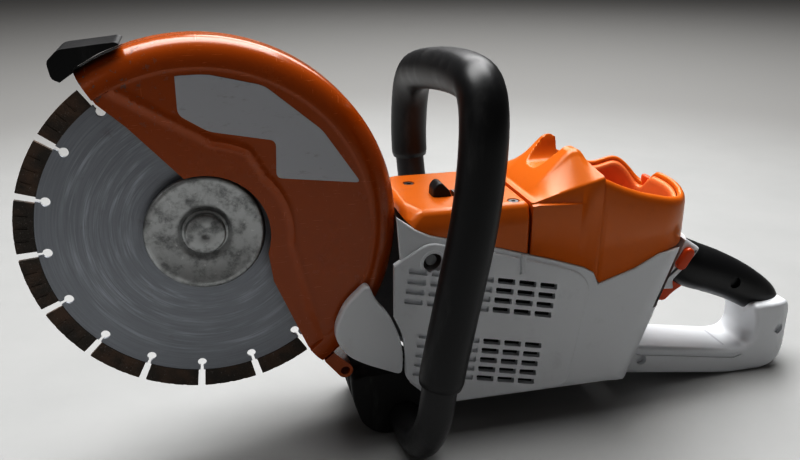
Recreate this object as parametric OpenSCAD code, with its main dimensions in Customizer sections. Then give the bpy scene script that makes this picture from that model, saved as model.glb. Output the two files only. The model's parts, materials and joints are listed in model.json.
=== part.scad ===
// Battery cut-off saw: an abrasive chop saw held in two hands.
// The wheel turns on a spindle at the front of an arm. A ribbed belt drives it
// from a motor in the housing, and a guard swivels on the arm's hub.
// X runs from the wheel to the rear handle, Y across the saw, Z up from the ground.

/* [Wheel] */
// Diameter of the abrasive wheel
wheel_d = 230; // [200:1:230]
// Thickness of the wheel's steel core
core_t = 2; // [1.6:0.1:2.4]
// Diameter of the bore in the wheel
bore_d = 22.2; // [20:0.1:25.4]
// Number of cutting segments
segments = 18; // [12:1:18]
// Height of a cutting segment
segment_h = 12; // [8:1:13]
// Diameter of the clamping flanges
flange_d = 77; // [70:1:80]

/* [Guard] */
// Outer radius of the guard's rim
guard_r = 125; // [124:0.5:126]
// Width of the guard across the wheel
guard_w = 42; // [40:1:42]
// Thickness of the guard's sheet
guard_t = 2; // [1.5:0.5:2.5]

/* [Housing] */
// Half the width of the housing
half_w = 48; // [46:1:50]
// Wall thickness of the plastic shells
wall = 3; // [2.5:0.5:3.5]
// Height of the front deck above the ground
deck_z = 173; // [171:1:175]

/* [Handles] */
// Diameter of the handlebar's tube
bar_d = 23; // [20:1:24]
// Outer diameter of the handlebar's rubber sleeve
sleeve_d = 29; // [27:1:30]
// Distance of the handlebar's legs from the middle plane
bar_y = 107; // [105:1:110]

/* [Hidden] */
$fn = 64;

gap = 0.3;

// The spindle, the wheel's middle plane and the motor's axis
spindle_x = wheel_d / 2 - 293;
spindle_z = 166;
wheel_y = -22;
motor_x = 5;
motor_z = 85;

// Drive train, along Y
belt_y = 20;
belt_w = 12;
driven_r = 26;
lock_r = 21.8;
lock_pin_d = 4.4;
lock_hole_d = 5;
lock_button_y = 48.5;
lock_holes = 8;
drive_r = 16;
belt_t = 2.4;
hub_r = 30;

// The housing's rear wall leans back from the rear foot to the hood
rear_lean = 0.35;
function rear_x(z) = 135.6 + (z - 22) * rear_lean;
hood_rear = 172;

// Sections of the housing
seam_x = 40;
pocket_r = guard_r + 4;
grip_half = 15;
strut_half = 23;
neck_half = 19;

// ---------- helpers ----------

// The outline of a line of even width that follows points.
function thick_line(pts, width) = let (last = len(pts) - 1, sides = [for (i = [0:last])
    let (d = unit(pts[min(i + 1, last)] - pts[max(i - 1, 0)])) [-d.y, d.x] * width / 2])
    concat([for (i = [0:last]) pts[i] + sides[i]], [for (i = [last:-1:0]) pts[i] - sides[i]]);

// Draws a shape of the X-Z plane as a plate between two Y values.
module across(y0, y1) {
    translate([0, y1, 0]) rotate([90, 0, 0]) linear_extrude(y1 - y0) children();
}

// Moves to the wheel's centre, with local Z pointing out through the outer flange.
module at_spindle() {
    translate([spindle_x, wheel_y, spindle_z]) rotate([90, 0, 0]) children();
}

// A cylinder along Y, from y0 to y1, at a place in the X-Z plane.
module rod(x, z, d, y0, y1) {
    translate([x, y1, z]) rotate([90, 0, 0]) cylinder(d = d, h = y1 - y0);
}

// A tube along Y.
module bush(x, z, d_out, d_in, y0, y1) {
    difference() {
        rod(x, z, d_out, y0, y1);
        rod(x, z, d_in, y0 - 1, y1 + 1);
    }
}

function arc(cx, cy, r, a0, a1, n = 12) =
    [for (i = [0:n]) let (a = a0 + (a1 - a0) * i / n) [cx + r * cos(a), cy + r * sin(a)]];

function unit(v) = v / norm(v);

// Rounds every corner of a closed outline with an arc of radius r, or less where it is tight.
function rounded(pts, r, n = 4) = [
    for (i = [0:len(pts) - 1])
        let (
            p = pts[i],
            a = unit(pts[(i + len(pts) - 1) % len(pts)] - p),
            b = unit(pts[(i + 1) % len(pts)] - p),
            room = min(norm(pts[(i + len(pts) - 1) % len(pts)] - p), norm(pts[(i + 1) % len(pts)] - p)) * 0.45,
            half = acos(max(-1, min(1, a * b))) / 2,
            reach = min(r / tan(max(half, 1)), room),
            s = p + a * reach,
            e = p + b * reach
        )
        for (k = [0:n]) let (t = k / n) s * (1 - t) * (1 - t) + p * 2 * t * (1 - t) + e * t * t
];

// A ring of points round a path point, square to the path's direction.
function ring(path, i, r, sides) =
    let (
        last = len(path) - 1,
        d = unit(path[min(i + 1, last)] - path[max(i - 1, 0)]),
        side = unit(cross(d, abs(d.x) > 0.9 ? [0, 1, 0] : [1, 0, 0])),
        up = cross(side, d)
    )
    [for (k = [0:sides - 1]) path[i] + r * (side * cos(360 * k / sides) + up * sin(360 * k / sides))];

// A round bar that follows a path of points.
module bar(path, r, sides = 24) {
    n = len(path);
    pts = [for (i = [0:n - 1]) each ring(path, i, r, sides)];
    walls = [for (i = [0:n - 2], k = [0:sides - 1])
        let (a = i * sides + k, b = i * sides + (k + 1) % sides) [a, b, b + sides, a + sides]];
    polyhedron(pts, concat(walls,
        [[for (k = [sides - 1:-1:0]) k]],
        [[for (k = [0:sides - 1]) (n - 1) * sides + k]]), convexity = 6);
}

// A hollow hose that follows a path of points.
module hose(path, r_out, r_in, sides = 24) {
    n = len(path);
    total = n * sides;
    pts = concat([for (i = [0:n - 1]) each ring(path, i, r_out, sides)],
        [for (i = [0:n - 1]) each ring(path, i, r_in, sides)]);
    outer = [for (i = [0:n - 2], k = [0:sides - 1])
        let (a = i * sides + k, b = i * sides + (k + 1) % sides) [a, b, b + sides, a + sides]];
    inner = [for (f = outer) [f[3] + total, f[2] + total, f[1] + total, f[0] + total]];
    first = [for (k = [0:sides - 1]) let (b = (k + 1) % sides) [k, k + total, b + total, b]];
    tip = (n - 1) * sides;
    end = [for (k = [0:sides - 1]) let (b = (k + 1) % sides)
        [tip + k, tip + b, tip + b + total, tip + k + total]];
    polyhedron(pts, concat(outer, inner, first, end), convexity = 8);
}

// A smooth path through points: each corner becomes a short curve.
function smooth_path(pts, n = 6) = [
    pts[0],
    for (i = [1:len(pts) - 2])
        let (a = (pts[i - 1] + pts[i]) / 2, b = (pts[i] + pts[i + 1]) / 2)
        for (k = [0:(i == len(pts) - 2 ? n : n - 1)])
            let (t = k / n) a * (1 - t) * (1 - t) + pts[i] * 2 * t * (1 - t) + b * t * t,
    pts[len(pts) - 1]
];

// A spring round Y, as a ribbed sleeve with one rib for each turn of its wire.
module coil(x, z, d, wire, y0, y1) {
    turns = 5;
    step = (y1 - y0) / turns;
    ribs = [for (i = [0:turns - 1]) each [[(d + wire) / 2, (i + 0.25) * step],
        [(d + wire) / 2, (i + 0.75) * step], [d / 2, (i + 1) * step]]];
    translate([x, y0, z]) rotate([-90, 0, 0]) rotate_extrude()
        polygon(concat([[(d - wire) / 2, 0], [d / 2, 0]], ribs, [[(d - wire) / 2, y1 - y0]]));
}

// ---------- wheel, flanges and spindle ----------

// One keyhole slot between two segments, at angle 0.
module slot_2d() {
    translate([97.2 * wheel_d / 230, 0]) circle(d = 6, $fn = 24);
    polygon([[96, -0.9], [106, -1.2], [118, -2.6], [118, 2.6], [106, 1.2], [96, 0.9]] * (wheel_d / 230));
}

module wheel_core() {
    color("slategray") at_spindle() translate([0, 0, -core_t / 2]) difference() {
        cylinder(r = wheel_d / 2 - segment_h, h = core_t, $fn = 144);
        translate([0, 0, -1]) cylinder(d = bore_d, h = core_t + 2);
        for (i = [0:segments - 1]) rotate(4.3 + i * 360 / segments)
            translate([0, 0, -1]) linear_extrude(core_t + 2) slot_2d();
    }
}

module segment_2d() {
    span = 360 / segments - 2.5;
    r_in = wheel_d / 2 - segment_h + 0.02;
    polygon(concat(arc(0, 0, r_in, -span / 2, span / 2, 8), arc(0, 0, wheel_d / 2, span / 2, -span / 2, 8)));
}

module wheel_segments() {
    seg_t = core_t + 0.8;
    color("dimgray") at_spindle() for (i = [0:segments - 1]) rotate(4.3 + (i + 0.5) * 360 / segments)
        difference() {
            translate([0, 0, -seg_t / 2]) linear_extrude(seg_t) segment_2d();
            for (k = [-1:1], s = [-1, 1]) rotate(k * 4.4)
                translate([wheel_d / 2 - 8.5, -1.1, s * seg_t / 2 - 0.4]) cube([10, 2.2, 0.8]);
        }
}

module outer_flange() {
    color("silver") at_spindle() difference() {
        union() {
            translate([0, 0, core_t / 2]) cylinder(d = flange_d - 8, h = 4);
            translate([0, 0, core_t / 2 + 3]) cylinder(d = flange_d, h = 4.5);
        }
        translate([0, 0, core_t / 2 + 4.5]) cylinder(r1 = 14, r2 = 34, h = 3.01);
        translate([0, 0, -1]) cylinder(d = 14.4, h = 20);
        translate([0, 0, -1]) cylinder(d = bore_d + 0.4, h = core_t / 2 + 3);
    }
}

module inner_flange() {
    color("silver") at_spindle() difference() {
        union() {
            translate([0, 0, -core_t / 2 - 6]) cylinder(d = flange_d - 6, h = 6);
            translate([0, 0, -core_t / 2 - 9]) cylinder(d = 40, h = 4);
        }
        translate([0, 0, -20]) cylinder(d = bore_d, h = 30);
    }
}

module flange_bolt() {
    color("gray") at_spindle() {
        translate([0, 0, core_t / 2 + 4.5]) cylinder(d = 26, h = 2.5);
        translate([0, 0, core_t / 2 + 7]) difference() {
            cylinder(d = 21, h = 6, $fn = 6);
            translate([0, 0, 5.6]) cylinder(d = 1.6, h = 1);
        }
        translate([0, 0, -14]) cylinder(d = 11.8, h = core_t / 2 + 19);
    }
}

module spindle() {
    color("darkgray") difference() {
        union() {
            rod(spindle_x, spindle_z, 15, -14, 40);
            rod(spindle_x, spindle_z, bore_d - 0.04, wheel_y - core_t / 2 - 1.5, -6);
        }
        rod(spindle_x, spindle_z, 12, -60, -7);
    }
}

// A pulley along Y with V-shaped ribs for a poly-V belt.
module ribbed_pulley(x, z, r, bore, y0) {
    ribs = 4;
    pitch = belt_w / ribs;
    profile = concat([[bore / 2, 0], [r, 0]],
        [for (i = [0:ribs - 1]) each [[r, i * pitch + 0.5], [r - 1.2, (i + 0.5) * pitch], [r, (i + 1) * pitch - 0.5]]],
        [[r, belt_w], [bore / 2, belt_w]]);
    translate([x, y0, z]) rotate([-90, 0, 0]) rotate_extrude($fn = 72) polygon(profile);
}

module driven_pulley() {
    color("gray") difference() {
        ribbed_pulley(spindle_x, spindle_z, driven_r, 15, belt_y);
        for (i = [0:lock_holes - 1]) at_spindle() rotate(i * 360 / lock_holes)
            translate([lock_r, 0, -60]) cylinder(d = lock_hole_d, h = 60);
    }
}

module drive_pulley() {
    color("gray") ribbed_pulley(motor_x, motor_z, drive_r, 10, belt_y);
}

// The flat outline of the belt's run, round both pulleys, at a distance from their rims.
module belt_2d(out) {
    hull() {
        translate([spindle_x, spindle_z]) circle(r = driven_r + out, $fn = 96);
        translate([motor_x, motor_z]) circle(r = drive_r + out, $fn = 96);
    }
}

module drive_belt() {
    color("black") across(belt_y + 0.4, belt_y + belt_w - 0.4) difference() {
        belt_2d(gap + belt_t);
        belt_2d(gap);
    }
}

// ---------- motor ----------

module motor_shaft() {
    color("silver") rod(motor_x, motor_z, 9.9, -42, belt_y + belt_w + 2);
}

module rotor() {
    color("dimgray") difference() {
        union() {
            bush(motor_x, motor_z, 49, 9.92, -24, 8);
            for (i = [0:7]) translate([motor_x, -8, motor_z]) rotate([0, i * 45, 0])
                translate([23.4, 0, 0]) cube([3, 30, 13], center = true);
        }
        rod(motor_x, motor_z, 9.92, -60, 60);
    }
}

module cooling_fan() {
    color("dimgray") {
        difference() {
            union() {
                rod(motor_x, motor_z, 70, -31, -29.5);
                rod(motor_x, motor_z, 20, -38, -29.5);
            }
            rod(motor_x, motor_z, 9.92, -60, 0);
        }
        for (i = [0:10]) translate([motor_x, -34.5, motor_z]) rotate([0, i * 360 / 11, 0])
            translate([21, 0, 0]) rotate([0, 25, 0]) cube([24, 7.2, 1.4], center = true);
    }
}

module stator() {
    color("darkgoldenrod") difference() {
        union() {
            bush(motor_x, motor_z, 76.2, 66, -24, 8);
            for (i = [0:11]) translate([motor_x, -8, motor_z]) rotate([0, i * 30, 0])
                translate([30, 0, 0]) cube([10, 32, 9], center = true);
        }
        rod(motor_x, motor_z, 53, -60, 60);
    }
}

module motor_frame() {
    color("silver") difference() {
        union() {
            bush(motor_x, motor_z, 82, 76.4, -26, 12);
            rod(motor_x, motor_z, 82, 9, 14);
        }
        rod(motor_x, motor_z, 26, 0, 20);
        for (a = motor_screw_angles) motor_screw(a, 4, 5, 20);
        rod(motor_x, motor_z, 76.4, -30, 9);
    }
}

// Where the motor is screwed to the arm's casing
motor_screw_angles = [45, 135, 225, 315];
motor_screw_r = 34;

module motor_screw(a, d, y0, y1) {
    rod(motor_x + motor_screw_r * cos(a), motor_z + motor_screw_r * sin(a), d, y0, y1);
}

module spindle_bearings() {
    color("lightgray") for (y = [8.1, 32.3]) bush(spindle_x, spindle_z, 32, 15.04, y, y + 7.6);
}

module motor_bearings() {
    color("lightgray") bush(motor_x, motor_z, 25.96, 9.94, 9.2, 14);
}

// ---------- arm ----------

module arm_2d(r_front, r_rear) {
    hull() {
        translate([spindle_x, spindle_z]) circle(r = r_front, $fn = 96);
        translate([motor_x, motor_z]) circle(r = r_rear, $fn = 96);
    }
}

arm_front_r = driven_r + 11;
arm_rear_r = 46;

module arm_casing() {
    color("gray") difference() {
        union() {
            difference() {
                across(4, 36) arm_2d(arm_front_r, arm_rear_r);
                across(17, 40) arm_2d(arm_front_r - 5, arm_rear_r - 5);
            }
            rod(spindle_x, spindle_z, 2 * hub_r - 2 * gap, -3.4, 5);
            rod(spindle_x, spindle_z, 2 * hub_r + 8, -0.5, 5);
        }
        rod(spindle_x, spindle_z, 32.04, 8, 30);
        rod(spindle_x, spindle_z, 24, -20, 30);
        rod(motor_x, motor_z, 83, 0, 14.1);
        rod(motor_x, motor_z, 30, 10, 30);
        for (a = motor_screw_angles) motor_screw(a, 4.4, 10, 20);
    }
}

module arm_cover() {
    color("gray") difference() {
        union() {
            across(36.1, 39) arm_2d(arm_front_r, arm_rear_r);
            rod(spindle_x, spindle_z, 33.9, 38, 43);
            bush(spindle_x, spindle_z, 35, 32.04, 33.8, 37);
        }
        rod(spindle_x, spindle_z, 32.04, 30, 40.2);
        rod(spindle_x + lock_r, spindle_z, lock_hole_d, 30, 50);
        for (p = arm_screw_places) rod(p.x, p.y, 4.4, 30, 50);
    }
}

// Where screws hold the arm's cover, close inside its outline
arm_screw_places = [[-178, 200.5], [-211, 157], [-179, 131.5], [-90, 164], [-110, 101]];

module arm_screws() {
    color("silver") for (p = arm_screw_places) {
        rod(p.x, p.y, 8, 39.05, 42);
    }
}

module spindle_lock() {
    color("black") {
        rod(spindle_x + lock_r, spindle_z, lock_pin_d, 33, lock_button_y + 1);
        rod(spindle_x + lock_r, spindle_z, 9, lock_button_y, lock_button_y + 4.5);
    }
}

module lock_spring() {
    color("silver") coil(spindle_x + lock_r, spindle_z, 5.8, 0.8, 39.1, lock_button_y - 0.1);
}

// ---------- guard ----------

// The guard's open edge runs from the front lip, round the flange, to the rear tip
edge_r = 41;
guard_edge = concat([[-72, 104], [-40, 74]], arc(0, 0, edge_r, 104, -20, 8), [[41, -34], [69, -103]]);
// The raised bead beside that edge
bead_r = 54;
guard_bead = concat([[-69, 110], [-53, 100], [5, 64]], arc(0, 0, bead_r, 50, -8, 4), [[64, -55], [74, -90]]);
bead_w = 3.2;
bead_h = 0.8;
face_r = 107.9;
rim_a0 = -54;
rim_a1 = 122;

module guard_face_2d(r) {
    polygon(concat(guard_edge, arc(0, 0, r, rim_a0, rim_a1, 40)));
}

// Cross-section of the rim from the side face over to the middle, as radius and height.
function rim_curve(out) = [for (i = [0:8]) let (a = i * 90 / 8)
    [108 + (guard_r - 108 + out) * sin(a), guard_w / 2 - 14 + (14 + out) * cos(a)]];

module rim_half(sense) {
    mirror([0, 0, sense]) rotate([0, 0, rim_a0]) rotate_extrude(angle = rim_a1 - rim_a0, $fn = 180)
        polygon(concat([[108, guard_w / 2 - guard_t]], [[108, guard_w / 2]], rim_curve(0), [[guard_r, 0.02]],
            [[guard_r - guard_t, 0.02]], [for (i = [8:-1:1]) rim_curve(-guard_t)[i]]));
}

module guard_rim() {
    color("chocolate") at_spindle() {
        rim_half(0);
        rim_half(1);
    }
}

module guard_left_shell() {
    color("chocolate") at_spindle() intersection() {
        union() {
            translate([0, 0, guard_w / 2 - guard_t]) linear_extrude(guard_t) guard_face_2d(face_r + 4);
            translate([0, 0, guard_w / 2 - 1]) linear_extrude(1 + bead_h) polygon(thick_line(guard_bead, bead_w));
        }
        cylinder(r = face_r, h = 60, $fn = 180);
    }
}

module guard_right_shell() {
    color("chocolate") at_spindle() difference() {
        intersection() {
            translate([0, 0, -guard_w / 2]) linear_extrude(guard_t) union() {
                guard_face_2d(face_r + 4);
                circle(r = hub_r + 14);
            }
            translate([0, 0, -40]) cylinder(r = face_r, h = 60, $fn = 180);
        }
        translate([0, 0, -60]) cylinder(r = hub_r, h = 80);
    }
}

module guard_clamp_ring() {
    color("dimgray") bush(spindle_x, spindle_z, 2 * hub_r + 14, 26, -6.6, -3.45);
}

module guard_bumper() {
    color("black") at_spindle() difference() {
        translate([0, 0, -17]) linear_extrude(34)
            polygon(rounded([[-78, 113.5], [-76.5, 104], [-71, 101], [-66, 106.4], [-66.6, 108.2],
                [-50, 117.2], [-38, 121.6], [-41, 122.6], [-72, 119.5]], 1.5, 2));
        translate([0, 0, -40]) cylinder(r = guard_r + 0.05, h = 80, $fn = 180);
    }
}

module guard_spacer() {
    color("chocolate") at_spindle() translate([0, 0, -10]) difference() {
        hull() {
            translate([88, -111]) cylinder(d = 11, h = 22);
            translate([78, -100]) cylinder(d = 9, h = 22);
        }
        translate([88, -111, -1]) cylinder(d = 6.4, h = 40);
        translate([0, 0, -1]) cylinder(r = guard_r + 0.05, h = 40, $fn = 180);
    }
}

label_2d = [[-10, 109], [7, 108], [42, 95], [76, 66], [100, 30], [46, 37], [47, 61], [7, 69], [-10, 80]];

module guard_label() {
    color("lightgray") at_spindle() translate([0, 0, guard_w / 2 + 0.02]) intersection() {
        linear_extrude(0.4) polygon(rounded(label_2d, 3, 3));
        cylinder(r = 106, h = 2, $fn = 120);
    }
}

// ---------- housing ----------

// Line where the white shells meet the orange covers, from front to rear
waist = [[-56, 172], [-36, 160], [30, 156], [62, 146], [104, 126], [118, 114], [124, 98], [rear_x(128), 128]];
rear_wall = [[rear_x(22), 22]];
belly = [[60, 20], [-22, 22]];

body_2d = concat(waist, rear_wall, belly, [[-46, 46]]);

module body_outline(inset = 0) {
    offset(delta = -inset) polygon(body_2d);
}

// The housing's plan follows its leaning rear wall, with round corners there.
rear_plan = concat([[-400, -60], [-400, 60], [-26, 60]],
    arc(-26, half_w - 26, 26, 90, 0, 8), arc(-26, 26 - half_w, 26, 0, -90, 8), [[-26, -60]]);

module round_rear() {
    translate([rear_x(22), 0, 22]) rotate([0, atan(rear_lean), 0]) translate([0, 0, -200])
        linear_extrude(500) polygon(rear_plan);
}

// The open middle of the housing, which the battery shaft hangs in.
module middle_opening() {
    across(-half_w + 3.5, half_w - 3.5) polygon([[-32, 210], [-32, 130], [148, 80],
        [rear_x(80) - 3.6, 80], [rear_x(128) - 3.6, 128], [rear_x(128) - 3.6, 210]]);
}

// The cylinder of free space that the guard turns in.
module guard_pocket() {
    at_spindle() translate([0, 0, -guard_w / 2 - 3]) cylinder(r = pocket_r, h = guard_w + 6, $fn = 180);
}

// Slots of the vents: pitch along and down, and the drop from one column to the next
vent_pitch_x = 16;
vent_pitch_z = 7.3;
vent_fall = 3.5;

// One block of slots through a side wall, whose rows fall towards the rear.
module vent_block(x, z, rows, y0, y1) {
    for (r = [0:rows - 1], c = [0:2]) translate([x - r + c * vent_pitch_x, 0, z - r * vent_pitch_z - c * vent_fall])
        across(y0, y1) polygon([[0, 0], [13, -2.8], [13, -7], [0, -4.2]]);
}

module vents(y0, y1) {
    vent_block(16, 122, 4, y0, y1);
    vent_block(7, 76, 5, y0, y1);
}

module clamshell(y_face) {
    difference() {
        intersection() {
            across(y_face < 0 ? y_face : 0.05, y_face < 0 ? -0.05 : y_face) body_outline();
            round_rear();
        }
        intersection() {
            across(y_face < 0 ? y_face + wall : -1, y_face < 0 ? 1 : y_face - wall) body_outline(wall);
            translate([-wall, 0, 0]) round_rear();
        }
        middle_opening();
    }
}

// Round recess for a screw in the near side
recess_x = -31;
recess_z = 138;
recess_d = 13.8;

module left_housing() {
    color("whitesmoke") difference() {
        union() {
            clamshell(-half_w);
            across(-half_w - 2, -half_w + 1) polygon(rounded([[-34, 157], [20, 152], [60, 140], [84, 126],
                [78, 60], [74, 28], [-18, 27], [-50, 50], [-50, 70], [-52, 86], [-60, 104], [-76, 128]], 8, 5));
            bush(recess_x, recess_z, 18, recess_d, -half_w - 2.4, -half_w + 8);
            rod(recess_x, recess_z, 18, -half_w + 7, -half_w + 9);
        }
        rod(recess_x, recess_z, recess_d, -half_w - 5, -half_w + 7);
        vents(-half_w - 3, -half_w + wall + 1);
        guard_pocket();
        across(-half_w - 5, 0) arm_window_2d();
    }
}

// Free space in front of the housing, so that no shell wall runs through it.
module arm_window_2d() {
    polygon([[-200, 100], [-200, 260], [-58, 260], [-58, 100]]);
}

module right_housing() {
    color("whitesmoke") difference() {
        clamshell(half_w);
        vents(half_w - wall - 1, half_w + 3);
        guard_pocket();
        across(0, 43) arm_2d(arm_front_r + 1, arm_rear_r + 1);
        rod(spindle_x, spindle_z, 200, -5, 60);
    }
}

nose_2d = [[-75, 127], [-80, 125], [-91, 113], [-98, 98], [-98, 86], [-90, 74], [-78, 66], [-51, 54],
    [-51, 70], [-53, 85], [-61, 103]];

module nose_cover() {
    color("whitesmoke") difference() {
        across(-half_w - 2, -half_w + 3.8) polygon(rounded(nose_2d, 3, 3));
        across(-half_w + 1, -half_w + 5) offset(delta = -2.5) polygon(nose_2d);
    }
}

module top_cover() {
    color("darkorange") difference() {
        hull() {
            translate([-50, -half_w + 1, 150]) cube([seam_x + 49.8, 2 * half_w - 2, 12]);
            translate([-38, -half_w + 3, deck_z - 1]) cube([seam_x + 37.8, 2 * half_w - 6, 1]);
            translate([-46, -20, deck_z - 1]) cube([20, 40, 1]);
        }
        translate([-36, -half_w + 4, 140]) cube([seam_x + 80, 2 * half_w - 8, deck_z - 140 - wall]);
        across(-60, 60) polygon([[-60, 140], [-60, 175], [-36, 160.2], [30, 156.2], [seam_x, 153.2], [seam_x, 140]]);
        guard_pocket();
        translate([-22, -17, deck_z - 2.2]) cube([60, 14, 10]);
        for (p = deck_screw_places) deck_recess(p.x, p.y, 8);
    }
}

deck_screw_places = [[-30, 20], [30, -36], [30, 36]];

// A recess for a screw head in the deck.
module deck_recess(x, y, d) {
    translate([x, y, deck_z - 2]) cylinder(d = d, h = 10);
    translate([x, y, deck_z - 20]) cylinder(d = 4.2, h = 30);
}

hood_side = [[seam_x, 153.6], [62, 146.6], [104, 126.6], [118, 114.6], [124, 98.8], [rear_x(128), 128.8],
    [hood_rear + 4, 140], [hood_rear + 4, 168], [150, 169], [128, 172], [104, 180], [88, 190],
    [82, 203], [76, 204], [70, 201], [44, deck_z], [seam_x, deck_z]];

// Plan of the hood and of the shaft in it: a long box with round rear corners.
function hood_plan(x0, inset) = let (r = 32 - inset, y = half_w - 1 - inset) concat([[x0, -y], [x0, y]],
    arc(hood_rear - 32, y - r, r, 90, 0, 8), arc(hood_rear - 32, r - y, r, 0, -90, 8));

// The hood seen from behind: upright sides that lean in above the deck.
hood_back = [[-half_w + 1, 90], [half_w - 1, 90], [half_w - 1, 165], [42, 182], [29, 203.5], [22, 206],
    [-22, 206], [-29, 203.5], [-42, 182], [-half_w + 1, 165]];

module hood_solid() {
    intersection() {
        across(-60, 60) polygon(hood_side);
        linear_extrude(300) polygon(hood_plan(seam_x, 0));
        translate([300, 0, 0]) rotate([90, 0, -90]) linear_extrude(400) polygon(hood_back);
    }
}

shaft_x0 = 88;
shaft_inset = 6;
latch_y = 20;
latch_x = hood_rear - 5;

module battery_hood() {
    color("darkorange") difference() {
        hood_solid();
        translate([0, 0, 80]) linear_extrude(200) polygon(hood_plan(shaft_x0 - 3.2, shaft_inset - 3.2));
        translate([seam_x - 5, -half_w + 4, 90]) cube([55, 2 * half_w - 8, deck_z - 90 - wall]);
        across(-24, 24) polygon([[54, 168], [72, 186], [81, 186], [81, 168]]);
        translate([40, 0, 215]) rotate([0, 90, 0]) cylinder(r = 24, h = 60);
        translate([150, latch_y - 11, 150]) cube([40, 22, 40]);
        across(-60, 60) polygon([[60, 90], [104, 126.5], [118, 114.5], [124, 98.7], [180, 131], [180, 90]]);
    }
}

module battery_shaft() {
    color("orangered") {
        difference() {
            shaft_solid(3, 108);
            shaft_solid(0, 110.5);
            translate([150, latch_y - 11, 150]) cube([40, 22, 40]);
            translate([120, -18, 105]) cube([30, 36, 10]);
        }
        for (s = [-1, 1]) translate([110, s * (half_w - shaft_inset - 2.4) - 1.2, 118]) cube([4, 2.4, 42]);
    }
}

// The shaft's outline from z0 up to the hood's rim, kept inside the leaning rear wall.
module shaft_solid(skin, z0) {
    intersection() {
        translate([0, 0, z0]) linear_extrude(162 - z0 + (skin == 0 ? 20 : 0))
            polygon(hood_plan(shaft_x0 - skin, shaft_inset - skin));
        translate([skin - wall - 3.8, 0, 0]) round_rear();
    }
}

module contact_block() {
    color("black") translate([120.2, -17.8, 104]) difference() {
        cube([29.6, 35.6, 12]);
        for (i = [-2:2]) translate([6, 17.8 + i * 6.4 - 1, 5]) cube([18, 2, 10]);
    }
}

module contact_blades() {
    color("gold") for (i = [-2:2]) translate([127, i * 6.4 - 0.5, 109.1]) cube([16, 1, 11]);
}

module battery_latch() {
    color("orangered") difference() {
        union() {
            translate([latch_x - 2, latch_y - 9.5, 152.6]) cube([5, 19, 15]);
            translate([latch_x - 3.4, latch_y - 9.5, 163.6]) cube([8, 19, 4]);
            rod(latch_x, 153, 6, latch_y - 9.5, latch_y + 9.5);
        }
        rod(latch_x, 153, 3.1, latch_y - 20, latch_y + 20);
    }
}

module latch_pin() {
    color("silver") rod(latch_x, 153, 3, latch_y - 10.9, latch_y + 10.9);
}

module control_unit() {
    color("dimgray") difference() {
        translate([60, -32, 40]) cube([64, 64, 26]);
        for (i = [0:9]) translate([63 + i * 6, -28, 58]) cube([3, 56, 10]);
    }
}

module motor_leads() {
    color("black") for (i = [-1:1]) bar(smooth_path([[46, -4 + i * 6, 98], [54, -4 + i * 6, 98],
        [72, -4 + i * 6, 92], [72, -4 + i * 6, 66.1]]), 1.6, 8);
}

module power_leads() {
    color("red") for (i = [-1, 1]) bar(smooth_path([[130, i * 8, 103.9], [130, i * 8, 88],
        [112, i * 8, 84], [112, i * 8, 66.1]]), 1.8, 8);
}

// ---------- rear handle ----------

grip_top = [[197, 113], [222, 101], [247, 89], [268, 75], [284, 62]];
handle_outer = [[291, 48], [293, 36], [291, 20], [282, 7], [268, 0], [232, 0]];
window_2d = [[130, 84], [200, 79], [231, 66], [249, 57], [254, 48], [255, 28], [250, 22], [238, 21], [130, 38]];
handle_plan = concat([[100, -strut_half]], arc(273, 20 - strut_half, 20, -90, 0, 6),
    arc(273, strut_half - 20, 20, 0, 90, 6), [[100, strut_half]]);

module rear_outline() {
    polygon(concat([[150, 127], [rear_x(127) + 6, 126]], grip_top, handle_outer, [[142, 12], [130, 22], [140, 90]]));
}

module rear_half(y0, y1) {
    difference() {
        intersection() {
            across(y0, y1) rear_outline();
            linear_extrude(200) polygon(handle_plan);
        }
        across(y0 - 1, y1 + 1) polygon(rounded(window_2d, 8, 4));
    }
}

module grip_region(grow = 0) {
    polygon([[197 + grow, 130], [193, 112], [184, 100], [172, 89 - grow], [176, 60], [255, 48 - grow],
        [262, 47 - grow], [275, 48 - grow], [287, 55 - grow], [300, 80], [260, 130]]);
}

module handle_blank() {
    intersection() {
        rear_half(-strut_half, strut_half);
        across(-40, 40) polygon([[120, -5], [300, -5], [300, 60], [262, 47], [176, 60], [120, 48]]);
    }
    intersection() {
        rear_half(-grip_half, grip_half);
        across(-40, 40) polygon([[120, 46], [300, 46], [300, 140], [120, 140]]);
    }
    intersection() {
        rear_half(-neck_half, neck_half);
        across(-40, 40) difference() {
            polygon([[178, 140], [120, 140], [120, 78], [176, 60], [230, 60], [230, 140]]);
            grip_region();
        }
    }
}

module handle_half(sense) {
    difference() {
        handle_blank();
        translate([0, sense < 0 ? -0.05 : -99.95, -10]) cube([400, 100, 200]);
        // room for the switch and the trigger's arm
        across(-7, 7) polygon([[162, 70], [165, 100], [182, 107], [232, 90], [226, 70]]);
        // the lockout button's way through
        translate([lockout_x, 14.3, lockout_z]) rotate([90, 0, 0]) linear_extrude(60) lockout_2d(gap);
        rod(trigger_x, trigger_z, 5, -12, 12);
        for (p = handle_screw_places) rod(p.x, p.y, 4.2, -40, 40);
        for (p = handle_screw_places) rod(p.x, p.y, 9, sense < 0 ? -40 : 10, sense < 0 ? -10 : 40);
        body_cut();
    }
}

// The rear handle stops where the housing's rear wall begins.
module body_cut() {
    translate([0.1, 0, 0]) across(-60, 60)
        polygon([[100, 12], [rear_x(12), 12], [rear_x(128), 128], [rear_x(128), 140], [100, 140]]);
}

handle_screw_places = [[233, 80], [277, 36], [152, 24]];

module rear_handle_left() {
    color("whitesmoke") handle_half(-1);
}

module rear_handle_right() {
    color("whitesmoke") handle_half(1);
}

grip_outline = concat([[194, 112]], [for (p = grip_top) p + [1, 2]], [[291, 53], [288, 47]],
    [[276, 44], [262, 44], [249, 53], [231, 62], [200, 75], [182, 79], [172, 88], [184, 99]]);

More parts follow.
